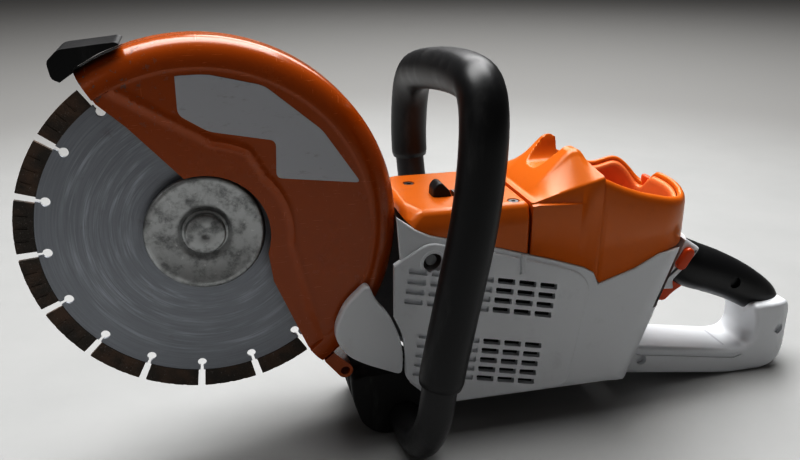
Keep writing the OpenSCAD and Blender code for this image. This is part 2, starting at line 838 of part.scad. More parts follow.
module grip_cover() {
    color("black") difference() {
        across(-neck_half, neck_half) polygon(rounded(grip_outline, 2, 2));
        handle_blank();
        across(-7.5, 7.5) polygon([[160, 60], [165, 100], [212, 84], [212, 60]]);
        rod(handle_screw_places[0].x, handle_screw_places[0].y, 9, -40, 40);
        body_cut();
    }
}

// Where the trigger turns on its pin
trigger_x = 207;
trigger_z = 88;
trigger_2d = [[173.5, 88], [167.5, 74], [169, 70], [174, 66], [178, 65.5], [197, 80], [211, 83], [213, 89],
    [210, 93], [186, 92]];

module trigger() {
    color("orangered") difference() {
        across(-6.5, 6.5) polygon(rounded(trigger_2d, 2, 2));
        rod(trigger_x, trigger_z, 4.1, -10, 10);
    }
}

module trigger_pin() {
    color("silver") rod(trigger_x, trigger_z, 4, -11.9, 11.9);
}

module trigger_spring() {
    color("silver") translate([193, 0, 101.8]) rotate([-90, 0, 0]) coil(0, 0, 5, 0.9, 0, 8);
}

module trigger_switch() {
    color("black") translate([212, -6.8, 76]) cube([13, 13.6, 6]);
}

// Place of the lockout button in the X-Z plane, and its inner end
lockout_x = 181;
lockout_z = 108;
lockout_inner_y = 4;

// The lockout button's long round outline, leaning with the rear wall.
module lockout_2d(grow = 0) {
    rotate(-30) hull() {
        translate([0, 5]) circle(r = 4.5 + grow, $fn = 32);
        translate([0, -5]) circle(r = 4.5 + grow, $fn = 32);
    }
}

module lockout_button() {
    color("orangered") translate([lockout_x, lockout_inner_y, lockout_z]) rotate([90, 0, 0])
        linear_extrude(27.5) lockout_2d();
}

module lockout_spring() {
    color("silver") coil(lockout_x, lockout_z, 6, 0.9, lockout_inner_y + 0.1, 14.1);
}

// ---------- front handle and foot ----------

bar_path = smooth_path([[-48, 34, 14], [-48, -20, 14], [-48, -78, 13], [-46, -bar_y, 48], [-42, -bar_y, 82],
    [-34, -bar_y, 125], [-20, -bar_y, 200], [-18, -bar_y + 1, 265], [-17, -62, 268], [-14, 28, 256],
    [-10, 88, 242], [-8, bar_y, 196], [-6, bar_y, 160], [2, bar_y - 2, 104], [6, 76, 104], [6, half_w + 4.1, 104]], 5);
sleeve_first = 18;
sleeve_last = 57;

module handlebar_tube() {
    color("dimgray") hose(bar_path, bar_d / 2, bar_d / 2 - 2.5, 16);
}

module handlebar_sleeve() {
    color("black") hose([for (i = [sleeve_first:sleeve_last]) bar_path[i]], sleeve_d / 2, bar_d / 2 + 0.1, 16);
}

module handlebar_bracket() {
    color("dimgray") difference() {
        union() {
            rod(bracket_x, bracket_z, 34, half_w + 0.1, half_w + 4);
            rod(bracket_x, bracket_z, 29, half_w + 0.1, half_w + 16);
            for (s = [-1, 1]) rod(bracket_x + s * 20, bracket_z + s * 6, 12, half_w + 0.1, half_w + 4);
        }
        rod(bracket_x, bracket_z, bar_d + 2 * gap, half_w + 3.9, half_w + 30);
        for (s = [-1, 1]) rod(bracket_x + s * 20, bracket_z + s * 6, 5, half_w - 1, half_w + 10);
    }
}

bracket_x = 6;
bracket_z = 104;

// Outline of the front foot, and the middle planes of the grooves between its ribs
foot_grooves = [-28, -14, 0, 14, 28];
foot_2d = [[-86, 50], [-84, 26], [-78, 9], [-66, 0], [-30, 0], [-22, 8], [-20, 21.8], [-44, 45], [-46, 50]];

module front_foot() {
    color("black") difference() {
        across(-40, 40) polygon(rounded(foot_2d, 5, 4));
        rod(-48, 14, bar_d + 0.6, -60, 35);
        for (y = foot_grooves) across(y - 1.5, y + 1.5) difference() {
            polygon([[-95, -5], [-95, 60], [-20, 60], [-20, -5]]);
            polygon(rounded([[-82, 50], [-80, 28], [-74.5, 12], [-64, 4], [-20, 4], [-20, 60], [-46, 60]], 5, 4));
        }
        guard_pocket();
        across(-60, 60) polygon([[-46.3, 45.6], [-22.2, 21.6], [20, 21], [20, 100], [-46.3, 100]]);
        across(-60, 60) arm_2d(arm_front_r + 1, arm_rear_r + 1);
    }
}

// ---------- wrench and fasteners ----------

module wrench() {
    color("silver") difference() {
        union() {
            translate([-6, -14, deck_z - 2]) cube([38, 8, 4]);
            translate([28, -10, deck_z - 2]) cylinder(d = 13.5, h = 4);
        }
        translate([28, -10, deck_z - 5]) cylinder(d = 7.4, h = 20, $fn = 6);
    }
}

module wrench_clip() {
    color("black") difference() {
        translate([-21.8, -16.8, deck_z - 2.1]) cube([14, 13.6, 12]);
        translate([-30, -30, deck_z + 10]) rotate([0, -20, 0]) cube([40, 40, 20]);
    }
}

module housing_screws() {
    color("silver") {
        rod(recess_x, recess_z, 8, -half_w + 4, -half_w + 6.9);
        for (p = [[30, 34], [100, 34]]) rod(p.x, p.y, 8, half_w + 0.05, half_w + 2);
        for (s = [-1, 1]) rod(bracket_x + s * 20, bracket_z + s * 6, 9, half_w + 4.05, half_w + 7);
        for (a = motor_screw_angles) motor_screw(a, 7, 17.05, 20);
    }
}

module cover_screws() {
    color("silver") for (p = deck_screw_places) translate([p.x, p.y, deck_z - 1.95])
        difference() {
            cylinder(d = 7, h = 1.6);
            translate([0, 0, 0.8]) cylinder(d = 3.4, h = 2, $fn = 6);
        }
}

module handle_screws() {
    color("silver") for (p = handle_screw_places) difference() {
        rod(p.x, p.y, 8, -13.5, -10.05);
        rod(p.x, p.y, 3.6, -20, -12);
    }
}

module sticker_strip() {
    color("white") across(-14, 14)
        polygon([[168, 32.2], [236, 21.6], [236.05, 21.9], [168.05, 32.5]]);
}

wheel_core();
wheel_segments();
outer_flange();
inner_flange();
flange_bolt();
spindle();
driven_pulley();
drive_belt();
drive_pulley();
motor_shaft();
rotor();
cooling_fan();
stator();
motor_frame();
spindle_bearings();
motor_bearings();
arm_casing();
arm_cover();
arm_screws();
spindle_lock();
lock_spring();
guard_left_shell();
guard_right_shell();
guard_rim();
guard_bumper();
guard_spacer();
guard_clamp_ring();
guard_label();
left_housing();
right_housing();
nose_cover();
top_cover();
battery_hood();
battery_shaft();
contact_block();
contact_blades();
battery_latch();
latch_pin();
control_unit();
motor_leads();
power_leads();
rear_handle_left();
rear_handle_right();
grip_cover();
trigger();
trigger_pin();
trigger_spring();
trigger_switch();
lockout_button();
lockout_spring();
handlebar_tube();
handlebar_sleeve();
handlebar_bracket();
front_foot();
wrench();
wrench_clip();
housing_screws();
cover_screws();
handle_screws();
sticker_strip();
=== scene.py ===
# %% [markdown]
# # A battery cut-off saw, dressed for the studio
# The frame comes from the CAD model: every node already has its right shape and place. This lesson adds
# what a photographer would see, such as rounded plastic, pressed sheet metal, worn steel and soft rubber.
# Some CAD nodes keep their own mesh and only get a finish. Others are hidden behind a better piece.

# %% Load the frame
import json
import math

import bmesh
import bpy
from mathutils import Matrix, Vector


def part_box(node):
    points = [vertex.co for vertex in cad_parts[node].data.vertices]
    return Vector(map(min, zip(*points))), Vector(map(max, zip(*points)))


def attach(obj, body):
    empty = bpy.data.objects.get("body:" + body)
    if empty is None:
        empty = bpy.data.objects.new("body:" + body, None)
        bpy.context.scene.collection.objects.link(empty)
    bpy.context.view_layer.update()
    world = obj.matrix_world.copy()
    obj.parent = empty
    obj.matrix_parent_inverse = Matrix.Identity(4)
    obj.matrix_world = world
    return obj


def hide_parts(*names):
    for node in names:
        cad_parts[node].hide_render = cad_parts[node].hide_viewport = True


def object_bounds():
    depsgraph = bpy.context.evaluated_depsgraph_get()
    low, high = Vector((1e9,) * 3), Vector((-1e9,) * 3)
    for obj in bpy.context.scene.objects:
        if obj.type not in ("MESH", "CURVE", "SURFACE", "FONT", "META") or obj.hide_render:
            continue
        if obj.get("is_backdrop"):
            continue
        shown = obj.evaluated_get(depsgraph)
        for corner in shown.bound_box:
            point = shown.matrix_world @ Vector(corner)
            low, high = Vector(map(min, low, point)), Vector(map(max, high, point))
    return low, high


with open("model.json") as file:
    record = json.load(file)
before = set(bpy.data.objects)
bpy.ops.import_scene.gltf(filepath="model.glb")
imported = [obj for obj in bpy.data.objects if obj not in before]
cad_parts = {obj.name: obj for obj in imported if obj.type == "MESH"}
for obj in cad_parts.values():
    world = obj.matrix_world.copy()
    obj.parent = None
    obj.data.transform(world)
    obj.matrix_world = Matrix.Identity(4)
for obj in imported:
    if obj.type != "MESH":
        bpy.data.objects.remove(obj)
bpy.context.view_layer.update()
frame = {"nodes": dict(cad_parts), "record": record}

MM = 0.001

# %% [markdown]
# ## Driving dimensions
# All sizes are in millimetres here, as in the CAD. The spindle's place and the guard's radius come from
# the frame's own boxes, so the pieces can't drift away from the solids they dress.

# %% Dimensions
def node_box(name):
    """Low and high corner of a CAD node, in millimetres."""
    low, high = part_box(name)
    return Vector(low) / MM, Vector(high) / MM

wheel_low, wheel_high = node_box("wheel_segments")
SPINDLE = (wheel_low + wheel_high) / 2
WHEEL_R = (wheel_high.x - wheel_low.x) / 2
rim_low, rim_high = node_box("guard_rim")
GUARD_R = rim_high.z - SPINDLE.z
GUARD_NEAR = rim_low.y
GUARD_FAR = rim_high.y
print("spindle", [round(v, 1) for v in SPINDLE], f"wheel radius {WHEEL_R:.1f}, guard radius {GUARD_R:.1f}")

# %% [markdown]
# ## Shader maths as plain Python
# A node tree is easier to read as an expression. This small class wraps one output socket, and each
# operator adds the Math node that does the work. Numbers alone never become nodes.

# %% Shader helper
FINISHES = {}


class Sock:
    """One output of a node tree, on which arithmetic adds Math nodes."""

    def __init__(self, tree, out):
        self.tree = tree
        self.out = out

    def math(self, operation, *values):
        n = self.tree.nodes.new("ShaderNodeMath")
        n.operation = operation
        for place, value in enumerate(values):
            feed(self.tree, n.inputs[place], value)
        return Sock(self.tree, n.outputs[0])

    def __add__(self, other):
        return self.math("ADD", self, other)

    def __sub__(self, other):
        return self.math("SUBTRACT", self, other)

    def __rsub__(self, other):
        return self.math("SUBTRACT", other, self)

    def __mul__(self, other):
        return self.math("MULTIPLY", self, other)

    __radd__ = __add__
    __rmul__ = __mul__

    def step(self, low, high):
        """0 below low, 1 above high, smooth between."""
        n = self.tree.nodes.new("ShaderNodeMapRange")
        n.interpolation_type = "SMOOTHSTEP"
        feed(self.tree, n.inputs[0], self)
        n.inputs[1].default_value = low
        n.inputs[2].default_value = high
        return Sock(self.tree, n.outputs[0])


def feed(tree, socket, value):
    """Puts a number on a socket, or links a Sock to it."""
    if isinstance(value, Sock):
        tree.links.new(value.out, socket)
    else:
        socket.default_value = value


class Finish:
    """A material whose nodes are made by short calls."""

    def __init__(self, name, colour, roughness=0.5, metallic=0.0, coat=0.0):
        self.material = bpy.data.materials.new(name)
        self.material.use_nodes = True
        self.tree = self.material.node_tree
        self.shader = self.tree.nodes["Principled BSDF"]
        self.shader.inputs["Base Color"].default_value = (*colour, 1.0)
        self.shader.inputs["Roughness"].default_value = roughness
        self.shader.inputs["Metallic"].default_value = metallic
        self.shader.inputs["Coat Weight"].default_value = coat
        self.shader.inputs["Coat Roughness"].default_value = 0.12
        self.place = self.node("ShaderNodeTexCoord").outputs["Object"]
        FINISHES[name] = self.material

    def node(self, kind, settings=None, **sockets):
        """A node of any type: its settings first, then its sockets' values or links."""
        n = self.tree.nodes.new(kind)
        for key, value in (settings or {}).items():
            setattr(n, key, value)
        for key, value in sockets.items():
            socket = n.inputs[key.replace("_", " ")]
            if isinstance(value, bpy.types.NodeSocket):
                self.tree.links.new(value, socket)
            else:
                feed(self.tree, socket, value)
        return n

    def noise(self, scale, detail=4.0, roughness=0.55, stretch=(1, 1, 1), at=None):
        """Soft noise with features of about 1 / scale metres."""
        spot = self.node("ShaderNodeMapping", Scale=stretch, Vector=at or self.place).outputs[0]
        n = self.node("ShaderNodeTexNoise", Scale=scale, Detail=detail, Roughness=roughness, Vector=spot)
        return Sock(self.tree, n.outputs[0])

    def axes(self):
        """Object X, Y and Z as separate numbers, in metres."""
        n = self.node("ShaderNodeSeparateXYZ", Vector=self.place)
        return [Sock(self.tree, out) for out in n.outputs]

    def mix(self, factor, a, b):
        """A colour between a and b."""
        n = self.node("ShaderNodeMix", {"data_type": "RGBA"})
        feed(self.tree, n.inputs[0], factor)
        for place, value in ((6, a), (7, b)):
            if isinstance(value, Sock):
                self.tree.links.new(value.out, n.inputs[place])
            else:
                n.inputs[place].default_value = (*value[:3], 1.0)
        return Sock(self.tree, n.outputs[2])

    def colour(self, value):
        self.tree.links.new(value.out, self.shader.inputs["Base Color"])

    def rough(self, value):
        self.tree.links.new(value.out, self.shader.inputs["Roughness"])

    def metal(self, value):
        self.tree.links.new(value.out, self.shader.inputs["Metallic"])

    def bump(self, height, strength=0.3, distance=0.0005):
        n = self.node("ShaderNodeBump", Strength=strength, Distance=distance, Height=height)
        self.tree.links.new(n.outputs[0], self.shader.inputs["Normal"])

print("shader helper ready")

# %% [markdown]
# ## Moulded plastics
# Injection-moulded covers have a fine spark-eroded grain, slightly uneven gloss, and dust that settles
# in the grain. Two scales of noise give the grain and the cloudiness; a third darkens a few smudges.

# %% Plastics
def plastic(name, colour, roughness):
    f = Finish(name, colour, roughness)
    cloud = f.noise(14, 5)
    smudge = f.noise(55, 6, 0.7).step(0.56, 0.74) * 0.10
    f.colour(f.mix(smudge + (cloud - 0.5) * 0.10, colour, [c * 0.45 + 0.02 for c in colour]))
    f.rough(roughness + (cloud - 0.5) * 0.18 + smudge)
    f.bump(f.noise(2600, 2), 0.12, 0.0002)

plastic("light_plastic", (0.74, 0.755, 0.775), 0.33)
plastic("orange_plastic", (0.66, 0.165, 0.012), 0.30)
plastic("signal_orange", (0.66, 0.085, 0.010), 0.32)
plastic("black_plastic", (0.018, 0.018, 0.019), 0.42)
plastic("well_orange", (0.74, 0.22, 0.07), 0.42)
print("plastics:", list(FINISHES))

# %% [markdown]
# ## Painted sheet metal
# The guard is pressed sheet under a thick gloss coat. Use leaves fine hairline scratches, and the lip
# that meets concrete loses its paint in chips, which two soft steps along X and Z keep to that corner.

# %% Guard paint
def guard_paint():
    colour = (0.42, 0.085, 0.001)
    f = Finish("guard_orange", colour, 0.26, coat=0.25)
    x, y, z = f.axes()
    hair = f.noise(90, 3, 0.6, (1, 1, 14)).step(0.665, 0.70) * 0.5
    hair_two = f.noise(70, 3, 0.6, (9, 1, 1.4)).step(0.675, 0.705) * 0.4
    lip = (x * -1.0).step(0.175, 0.232) * z.step(0.222, 0.262)
    chips = f.noise(230, 4, 0.7).step(0.60, 0.63) * lip * 0.9
    dust = f.noise(30, 5, 0.65).step(0.5, 0.8) * 0.12
    worn = f.mix(hair + hair_two, colour, (0.66, 0.20, 0.05))
    dusty = f.mix(dust, worn, (0.36, 0.13, 0.04))
    f.colour(f.mix(chips, dusty, (0.16, 0.13, 0.12)))
    f.rough(0.24 + dust * 1.2 + (hair + hair_two) * 0.3 + chips * 0.5)
    f.bump(f.noise(40, 2) * 0.6 - chips * 0.6, 0.10, 0.0006)

guard_paint()
print("guard paint ready")

# %% [markdown]
# ## Rubber
# The handlebar's sleeve is soft foam rubber with a skin: black, with a broad weak highlight and faint
# rub marks along it. The foot is a duller rubber with more dust.

# %% Rubbers
def rubber(name, colour, roughness, dust):
    f = Finish(name, colour, roughness)
    rub = f.noise(60, 5, 0.65, (1, 1, 0.25))
    f.colour(f.mix(rub.step(0.52, 0.82) * dust, colour, (0.16, 0.155, 0.15)))
    f.rough(roughness + (rub - 0.5) * 0.22)
    f.bump(f.noise(1500, 3), 0.15, 0.0003)

rubber("black_rubber", (0.010, 0.0105, 0.0115), 0.38, 0.22)
rubber("foot_rubber", (0.016, 0.016, 0.016), 0.58, 0.7)
rubber("belt_rubber", (0.02, 0.02, 0.02), 0.7, 0.3)
rubber("cable_black", (0.02, 0.02, 0.02), 0.45, 0.1)
rubber("cable_red", (0.40, 0.02, 0.02), 0.45, 0.1)
print("rubbers ready")

# %% [markdown]
# ## Turned and worn steel
# Everything that spins against stone is scored in circles. Polar coordinates round the spindle turn
# ordinary noise into arcs: the radius varies fast and the angle slowly.

# %% Wheel steel
def polar(f):
    """Radius in metres and angle in radians about the spindle."""
    x, y, z = f.axes()
    dx = x - SPINDLE.x * MM
    dz = z - SPINDLE.z * MM
    squared = dx * dx + dz * dz
    radius = squared.math("SQRT", squared)
    return radius, radius.math("ARCTAN2", dz, dx)


def arcs(f, radius, angle, fine, along):
    """Noise drawn out along circles round the spindle."""
    n = f.node("ShaderNodeCombineXYZ", X=radius * fine, Y=angle.math("COSINE", angle) * along,
               Z=angle.math("SINE", angle) * along)
    return f.noise(1.0, 5, 0.6, at=n.outputs[0])


def wheel_steel():
    f = Finish("wheel_steel", (0.15, 0.16, 0.17), 0.42, metallic=0.8)
    radius, angle = polar(f)
    fine = arcs(f, radius, angle, 1100, 2.2)
    broad = arcs(f, radius, angle, 260, 1.6)
    band = radius.step(0.040, 0.052) * (1 - radius.step(0.084, 0.096))
    scuff = broad.step(0.44, 0.72) * fine.step(0.34, 0.62) * band
    rust = f.noise(60, 5, 0.65).step(0.60, 0.78) * 0.35
    grey = f.mix(fine, (0.22, 0.232, 0.25), (0.44, 0.46, 0.50))
    scraped = f.mix(scuff * 0.7, grey, (0.68, 0.72, 0.78))
    f.colour(f.mix(rust, scraped, (0.11, 0.075, 0.05)))
    f.rough(0.36 + fine * 0.2 + scuff * 0.15)
    f.metal(0.8 - scuff * 0.35 - rust)
    f.bump(fine + broad * 0.5, 0.25, 0.0003)


def segment_metal():
    f = Finish("segment_metal", (0.05, 0.038, 0.03), 0.75, metallic=0.25)
    grit = f.noise(700, 4, 0.7)
    patch = f.noise(60, 4)
    dark = f.mix(patch.step(0.4, 0.7), (0.085, 0.074, 0.064), (0.17, 0.115, 0.085))
    f.colour(f.mix(grit.step(0.60, 0.7) * 0.6, dark, (0.42, 0.40, 0.37)))
    f.rough(0.62 + grit * 0.25)
    f.bump(grit, 0.7, 0.0005)


def zinc():
    f = Finish("zinc", (0.46, 0.47, 0.47), 0.36, metallic=0.85)
    radius, angle = polar(f)
    ring = arcs(f, radius, angle, 700, 3.5)
    stain = f.noise(110, 6, 0.7).step(0.42, 0.70)
    splash = f.noise(260, 4, 0.7).step(0.62, 0.70)
    base = f.mix(stain, (0.50, 0.51, 0.51), (0.27, 0.275, 0.275))
    f.colour(f.mix(splash * 0.5, base, (0.72, 0.73, 0.72)))
    f.rough(0.28 + stain * 0.24 + ring * 0.1)
    f.bump(ring * 0.7 + stain * 0.4, 0.22, 0.0003)

wheel_steel()
segment_metal()
zinc()
print("steels ready")

# %% [markdown]
# ## Plain metals and films
# Most of these parts are inside the saw and show only with a cover off. They get a brushed or cast look.
# The handlebar tube's coating is satin black, and the label film is pale and a little rubbed.

# %% Other metals
def metal(name, colour, roughness, metallic=1.0, stretch=(1, 1, 1), scale=400, bump=0.2):
    f = Finish(name, colour, roughness, metallic)
    grain = f.noise(scale, 4, 0.6, stretch)
    stain = f.noise(45, 5, 0.65).step(0.5, 0.8)
    f.colour(f.mix(stain * 0.35 + grain * 0.15, colour, [c * 0.45 for c in colour]))
    f.rough(roughness + (grain - 0.5) * 0.25 + stain * 0.12)
    f.bump(grain, bump, 0.0003)

metal("bright_steel", (0.60, 0.60, 0.59), 0.28, stretch=(1, 6, 1))
metal("dark_steel", (0.20, 0.20, 0.205), 0.38)
metal("rotor_steel", (0.24, 0.24, 0.25), 0.42, stretch=(1, 20, 1))
metal("copper_windings", (0.55, 0.21, 0.07), 0.38, stretch=(1, 9, 1))
metal("cast_aluminium", (0.34, 0.34, 0.345), 0.52, 0.85, scale=900, bump=0.5)
metal("brass", (0.70, 0.50, 0.20), 0.3)
metal("bar_tube", (0.030, 0.030, 0.032), 0.38, 0.15)


def label_film():
    colour = (0.56, 0.57, 0.60)
    f = Finish("label_film", colour, 0.32)
    rub = f.noise(80, 5, 0.7, (1, 1, 3)).step(0.58, 0.72)
    f.colour(f.mix(rub * 0.5, colour, (0.36, 0.35, 0.35)))
    f.rough(0.30 + rub * 0.3)
    f.bump(rub, 0.1, 0.0001)

label_film()
plastic("label_border", (0.05, 0.05, 0.055), 0.35)
print(len(FINISHES), "finishes")

# %% [markdown]
# ## Every CAD node gets a finish
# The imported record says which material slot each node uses, so one loop dresses them all. Pieces
# made later hide some of these nodes.

# %% Dress the frame
SLOT_OF = {part["node"]: part["material_slot"] for part in frame["record"]["subparts"]}
for name, obj in frame["nodes"].items():
    obj.data.materials.clear()
    obj.data.materials.append(FINISHES[SLOT_OF[name]])
frame["nodes"]["battery_shaft"].data.materials[0] = FINISHES["well_orange"]
# Painted shade: the screws get dark steel so that their deep recesses read dark.
for name in ("housing_screws", "cover_screws"):
    frame["nodes"][name].data.materials[0] = FINISHES["dark_steel"]
print("dressed", len(SLOT_OF), "nodes")

# %% [markdown]
# ## Modelling helpers
# Every new piece starts as a bmesh in millimetres. One function cleans it, turns it into metres, gives it
# its finish and ties it to the CAD body it rides on. Smooth shading with sharp edges kept by their angle,
# and normals weighted by face area, keep flat panels flat right up to their rounded edges.

# %% From bmesh to piece
SHARP = math.radians(38)


def make_piece(name, bm, body, finish, replaces=(), sharp=SHARP, recalc=True):
    """Turns a bmesh in millimetres into a finished piece in metres."""
    bmesh.ops.remove_doubles(bm, verts=bm.verts, dist=0.001)
    if recalc:
        bmesh.ops.recalc_face_normals(bm, faces=bm.faces)
    bmesh.ops.triangulate(bm, faces=[f for f in bm.faces if len(f.verts) > 4])
    bmesh.ops.scale(bm, vec=(MM, MM, MM), verts=bm.verts)
    mesh = bpy.data.meshes.new(name)
    bm.to_mesh(mesh)
    bm.free()
    mesh.shade_smooth()
    mesh.set_sharp_from_angle(angle=sharp)
    obj = bpy.data.objects.new(name, mesh)
    bpy.context.scene.collection.objects.link(obj)
    mesh.materials.append(FINISHES[finish])
    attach(obj, body)
    if replaces:
        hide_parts(*replaces)
    print(f"{name}: {len(mesh.polygons)} faces on {body}")
    return obj


def add_modifier(obj, kind, **settings):
    """Adds a modifier and its settings by name."""
    modifier = obj.modifiers.new(kind.lower(), kind)
    for key, value in settings.items():
        setattr(modifier, key, value)


def soft_edges(obj, width, segments=3, angle=38):
    """Rounds the edges that are sharper than an angle, then weighs the normals by area."""
    add_modifier(obj, "BEVEL", width=width * MM, segments=segments, limit_method="ANGLE",
                 angle_limit=math.radians(angle), use_clamp_overlap=True, miter_outer="MITER_ARC")
    add_modifier(obj, "WEIGHTED_NORMAL", keep_sharp=False)


def crisp_edges(obj, width, angle=50):
    """Narrow facets on the edges above an angle, and flat panels between them."""
    add_modifier(obj, "BEVEL", width=width * MM, segments=2, limit_method="ANGLE",
                 angle_limit=math.radians(angle))
    flat_panels(obj)


def flat_panels(obj):
    """Weighs the normals by face area, so that large faces look flat."""
    add_modifier(obj, "WEIGHTED_NORMAL", keep_sharp=True)


def evaluate(bm_list, operation):
    """One Boolean between the first bmesh and each of the others, which must all be closed."""
    objects = []
    for bm in bm_list:
        bmesh.ops.recalc_face_normals(bm, faces=bm.faces)
        mesh = bpy.data.meshes.new("boolean_step")
        bm.to_mesh(mesh)
        bm.free()
        obj = bpy.data.objects.new("boolean_step", mesh)
        bpy.context.scene.collection.objects.link(obj)
        objects.append(obj)
    for cutter in objects[1:]:
        modifier = objects[0].modifiers.new("cut", "BOOLEAN")
        modifier.operation = operation
        modifier.solver = "MANIFOLD"
        modifier.object = cutter
    graph = bpy.context.evaluated_depsgraph_get()
    result = bmesh.new()
    result.from_mesh(objects[0].evaluated_get(graph).to_mesh())
    for obj in objects:
        mesh = obj.data
        bpy.data.objects.remove(obj)
        bpy.data.meshes.remove(mesh)
    return result


def carve(bm, *cutters):
    return evaluate([bm, *cutters], "DIFFERENCE")


def overlap(bm, *others):
    return evaluate([bm, *others], "INTERSECT")


def unite(bm, *others):
    return evaluate([bm, *others], "UNION")

# %% [markdown]
# ## Outlines and slabs
# Most shells are a side view pulled across the saw. `soften` rounds the corners of a side view, `slab`
# extrudes it along Y, and a bevel rounds its rims. A lathe turns a profile about the spindle.

# %% Outline helpers
PARTING = 0.05


def bend(a, corner, b, t):
    """A point of the curve that leaves a towards the corner and arrives at b."""
    return a * (1 - t) ** 2 + corner * 2 * t * (1 - t) + b * t ** 2


def soften(points, radius, steps=5):
    """Rounds each corner of a closed outline with a short curve."""
    points = [Vector(p) for p in points]
    out = []
    for i, p in enumerate(points):
        before, after = points[i - 1], points[(i + 1) % len(points)]
        reach = min(radius, (before - p).length * 0.45, (after - p).length * 0.45)
        a = p + (before - p).normalized() * reach
        b = p + (after - p).normalized() * reach
        out += [bend(a, p, b, k / steps) for k in range(steps + 1)]
    return out


def half_slab(outline, side, half, rim):
    """One half of a slab, split at the middle plane; side is -1 near and 1 far."""
    if side < 0:
        return slab(outline, -half, -PARTING, rim)
    return slab(outline, PARTING, half, 0, rim)


def arc(cx, cz, radius, start, end, steps=12):
    """Points of an arc in a side view, by its angles in degrees from +X to +Z."""
    turns = [math.radians(start + (end - start) * k / steps) for k in range(steps + 1)]
    return [Vector((cx + radius * math.cos(t), cz + radius * math.sin(t))) for t in turns]


def slab(outline, y0, y1, rim0=0.0, rim1=0.0, segments=5):
    """A side view extruded from y0 to y1, with rounded rims of radius rim0 and rim1."""
    bm = bmesh.new()
    verts = [bm.verts.new((p[0], y0, p[1])) for p in outline]
    cap = bm.faces.new(verts)
    grown = bmesh.ops.extrude_face_region(bm, geom=[cap])["geom"]
    far = [g for g in grown if isinstance(g, bmesh.types.BMVert)]
    bmesh.ops.translate(bm, vec=(0, y1 - y0, 0), verts=far)
    bmesh.ops.recalc_face_normals(bm, faces=bm.faces)
    for y, radius in ((y0, rim0), (y1, rim1)):
        if radius:
            edges = [e for e in bm.edges if all(abs(v.co.y - y) < 1e-4 for v in e.verts)]
            bmesh.ops.bevel(bm, geom=edges, offset=radius, affect="EDGES", segments=segments, profile=0.5,
                            material=-1, clamp_overlap=False)
    return bm


def shrink(outline, inset):
    """Moves every side of a closed outline inward."""
    bm = bmesh.new()
    face = bm.faces.new([bm.verts.new((p[0], 0, p[1])) for p in outline])
    bmesh.ops.inset_individual(bm, faces=[face], thickness=inset)
    points = [v.co.xz.copy() for v in face.verts]
    bm.free()
    return points


def lathe(profile, steps):
    """Turns a closed profile of (radius, y) points about the spindle."""
    bm = bmesh.new()
    verts = [bm.verts.new((SPINDLE.x + r, y, SPINDLE.z)) for r, y in profile]
    edges = [bm.edges.new(pair) for pair in zip(verts, verts[1:] + verts[:1])]
    bmesh.ops.spin(bm, geom=verts + edges, cent=(SPINDLE.x, 0, SPINDLE.z), axis=(0, -1, 0),
                   angle=math.tau, steps=steps, use_merge=True)
    bmesh.ops.remove_doubles(bm, verts=bm.verts, dist=0.001)
    return bm


def rod(x, z, diameter, y0, y1, steps=48, rim=0.0):
    """A round bar along Y."""
    bm = bmesh.new()
    bmesh.ops.create_cone(bm, cap_ends=True, segments=steps, radius1=diameter / 2, radius2=diameter / 2,
                          depth=y1 - y0, matrix=Matrix.Translation((x, (y0 + y1) / 2, z))
                          @ Matrix.Rotation(math.radians(90), 4, "X"))
    if rim:
        edges = [e for e in bm.edges if abs(e.verts[0].co.y - e.verts[1].co.y) < 1e-4]
        bmesh.ops.bevel(bm, geom=edges, offset=rim, affect="EDGES", segments=3, profile=0.5, material=-1)
    return bm


def block(low, high):
    """A box between two corners."""
    low, high = Vector(low), Vector(high)
    size = high - low
    bm = bmesh.new()
    bmesh.ops.create_cube(bm, size=1, matrix=Matrix.Translation((low + high) / 2)
                          @ Matrix.Diagonal((*size, 1)))
    return bm

print("modelling helpers ready")

# %% [markdown]
# ## The looped handlebar
# A bent steel tube runs from under the nose, up the near side, over the deck and down the far side. Its
# upper half wears a thick rubber sleeve. Both follow the CAD's route: a ring of edges is extruded from
# station to station and turned with the path, so the skin stays smooth with few faces. The sleeve's last
# ring at each end is a little narrower, which rounds its mouth.

# %% Handlebar route
BAR_ROUTE = [(-48, 34, 14), (-48, -20, 14), (-48, -78, 13), (-46, -107, 48), (-42, -107, 82),
             (-34, -107, 125), (-20, -107, 200), (-18, -106, 265), (-17, -62, 268), (-14, 28, 256),
             (-10, 88, 242), (-8, 107, 196), (-6, 107, 160), (2, 105, 104), (6, 76, 104), (6, 52.1, 104)]
TUBE_R = 11.5
SLEEVE_R = 14.5
SLEEVE_SPAN = (3.4, 11.2)


def smooth_route(points, steps):
    """Turns each corner of a route into a short curve, as the CAD does."""
    points = [Vector(p) for p in points]
    out = [points[0]]
    for i in range(1, len(points) - 1):
        a, b = (points[i - 1] + points[i]) / 2, (points[i] + points[i + 1]) / 2
        last = steps + 1 if i == len(points) - 2 else steps
        out += [bend(a, points[i], b, k / steps) for k in range(last)]
    return out + [points[-1]]


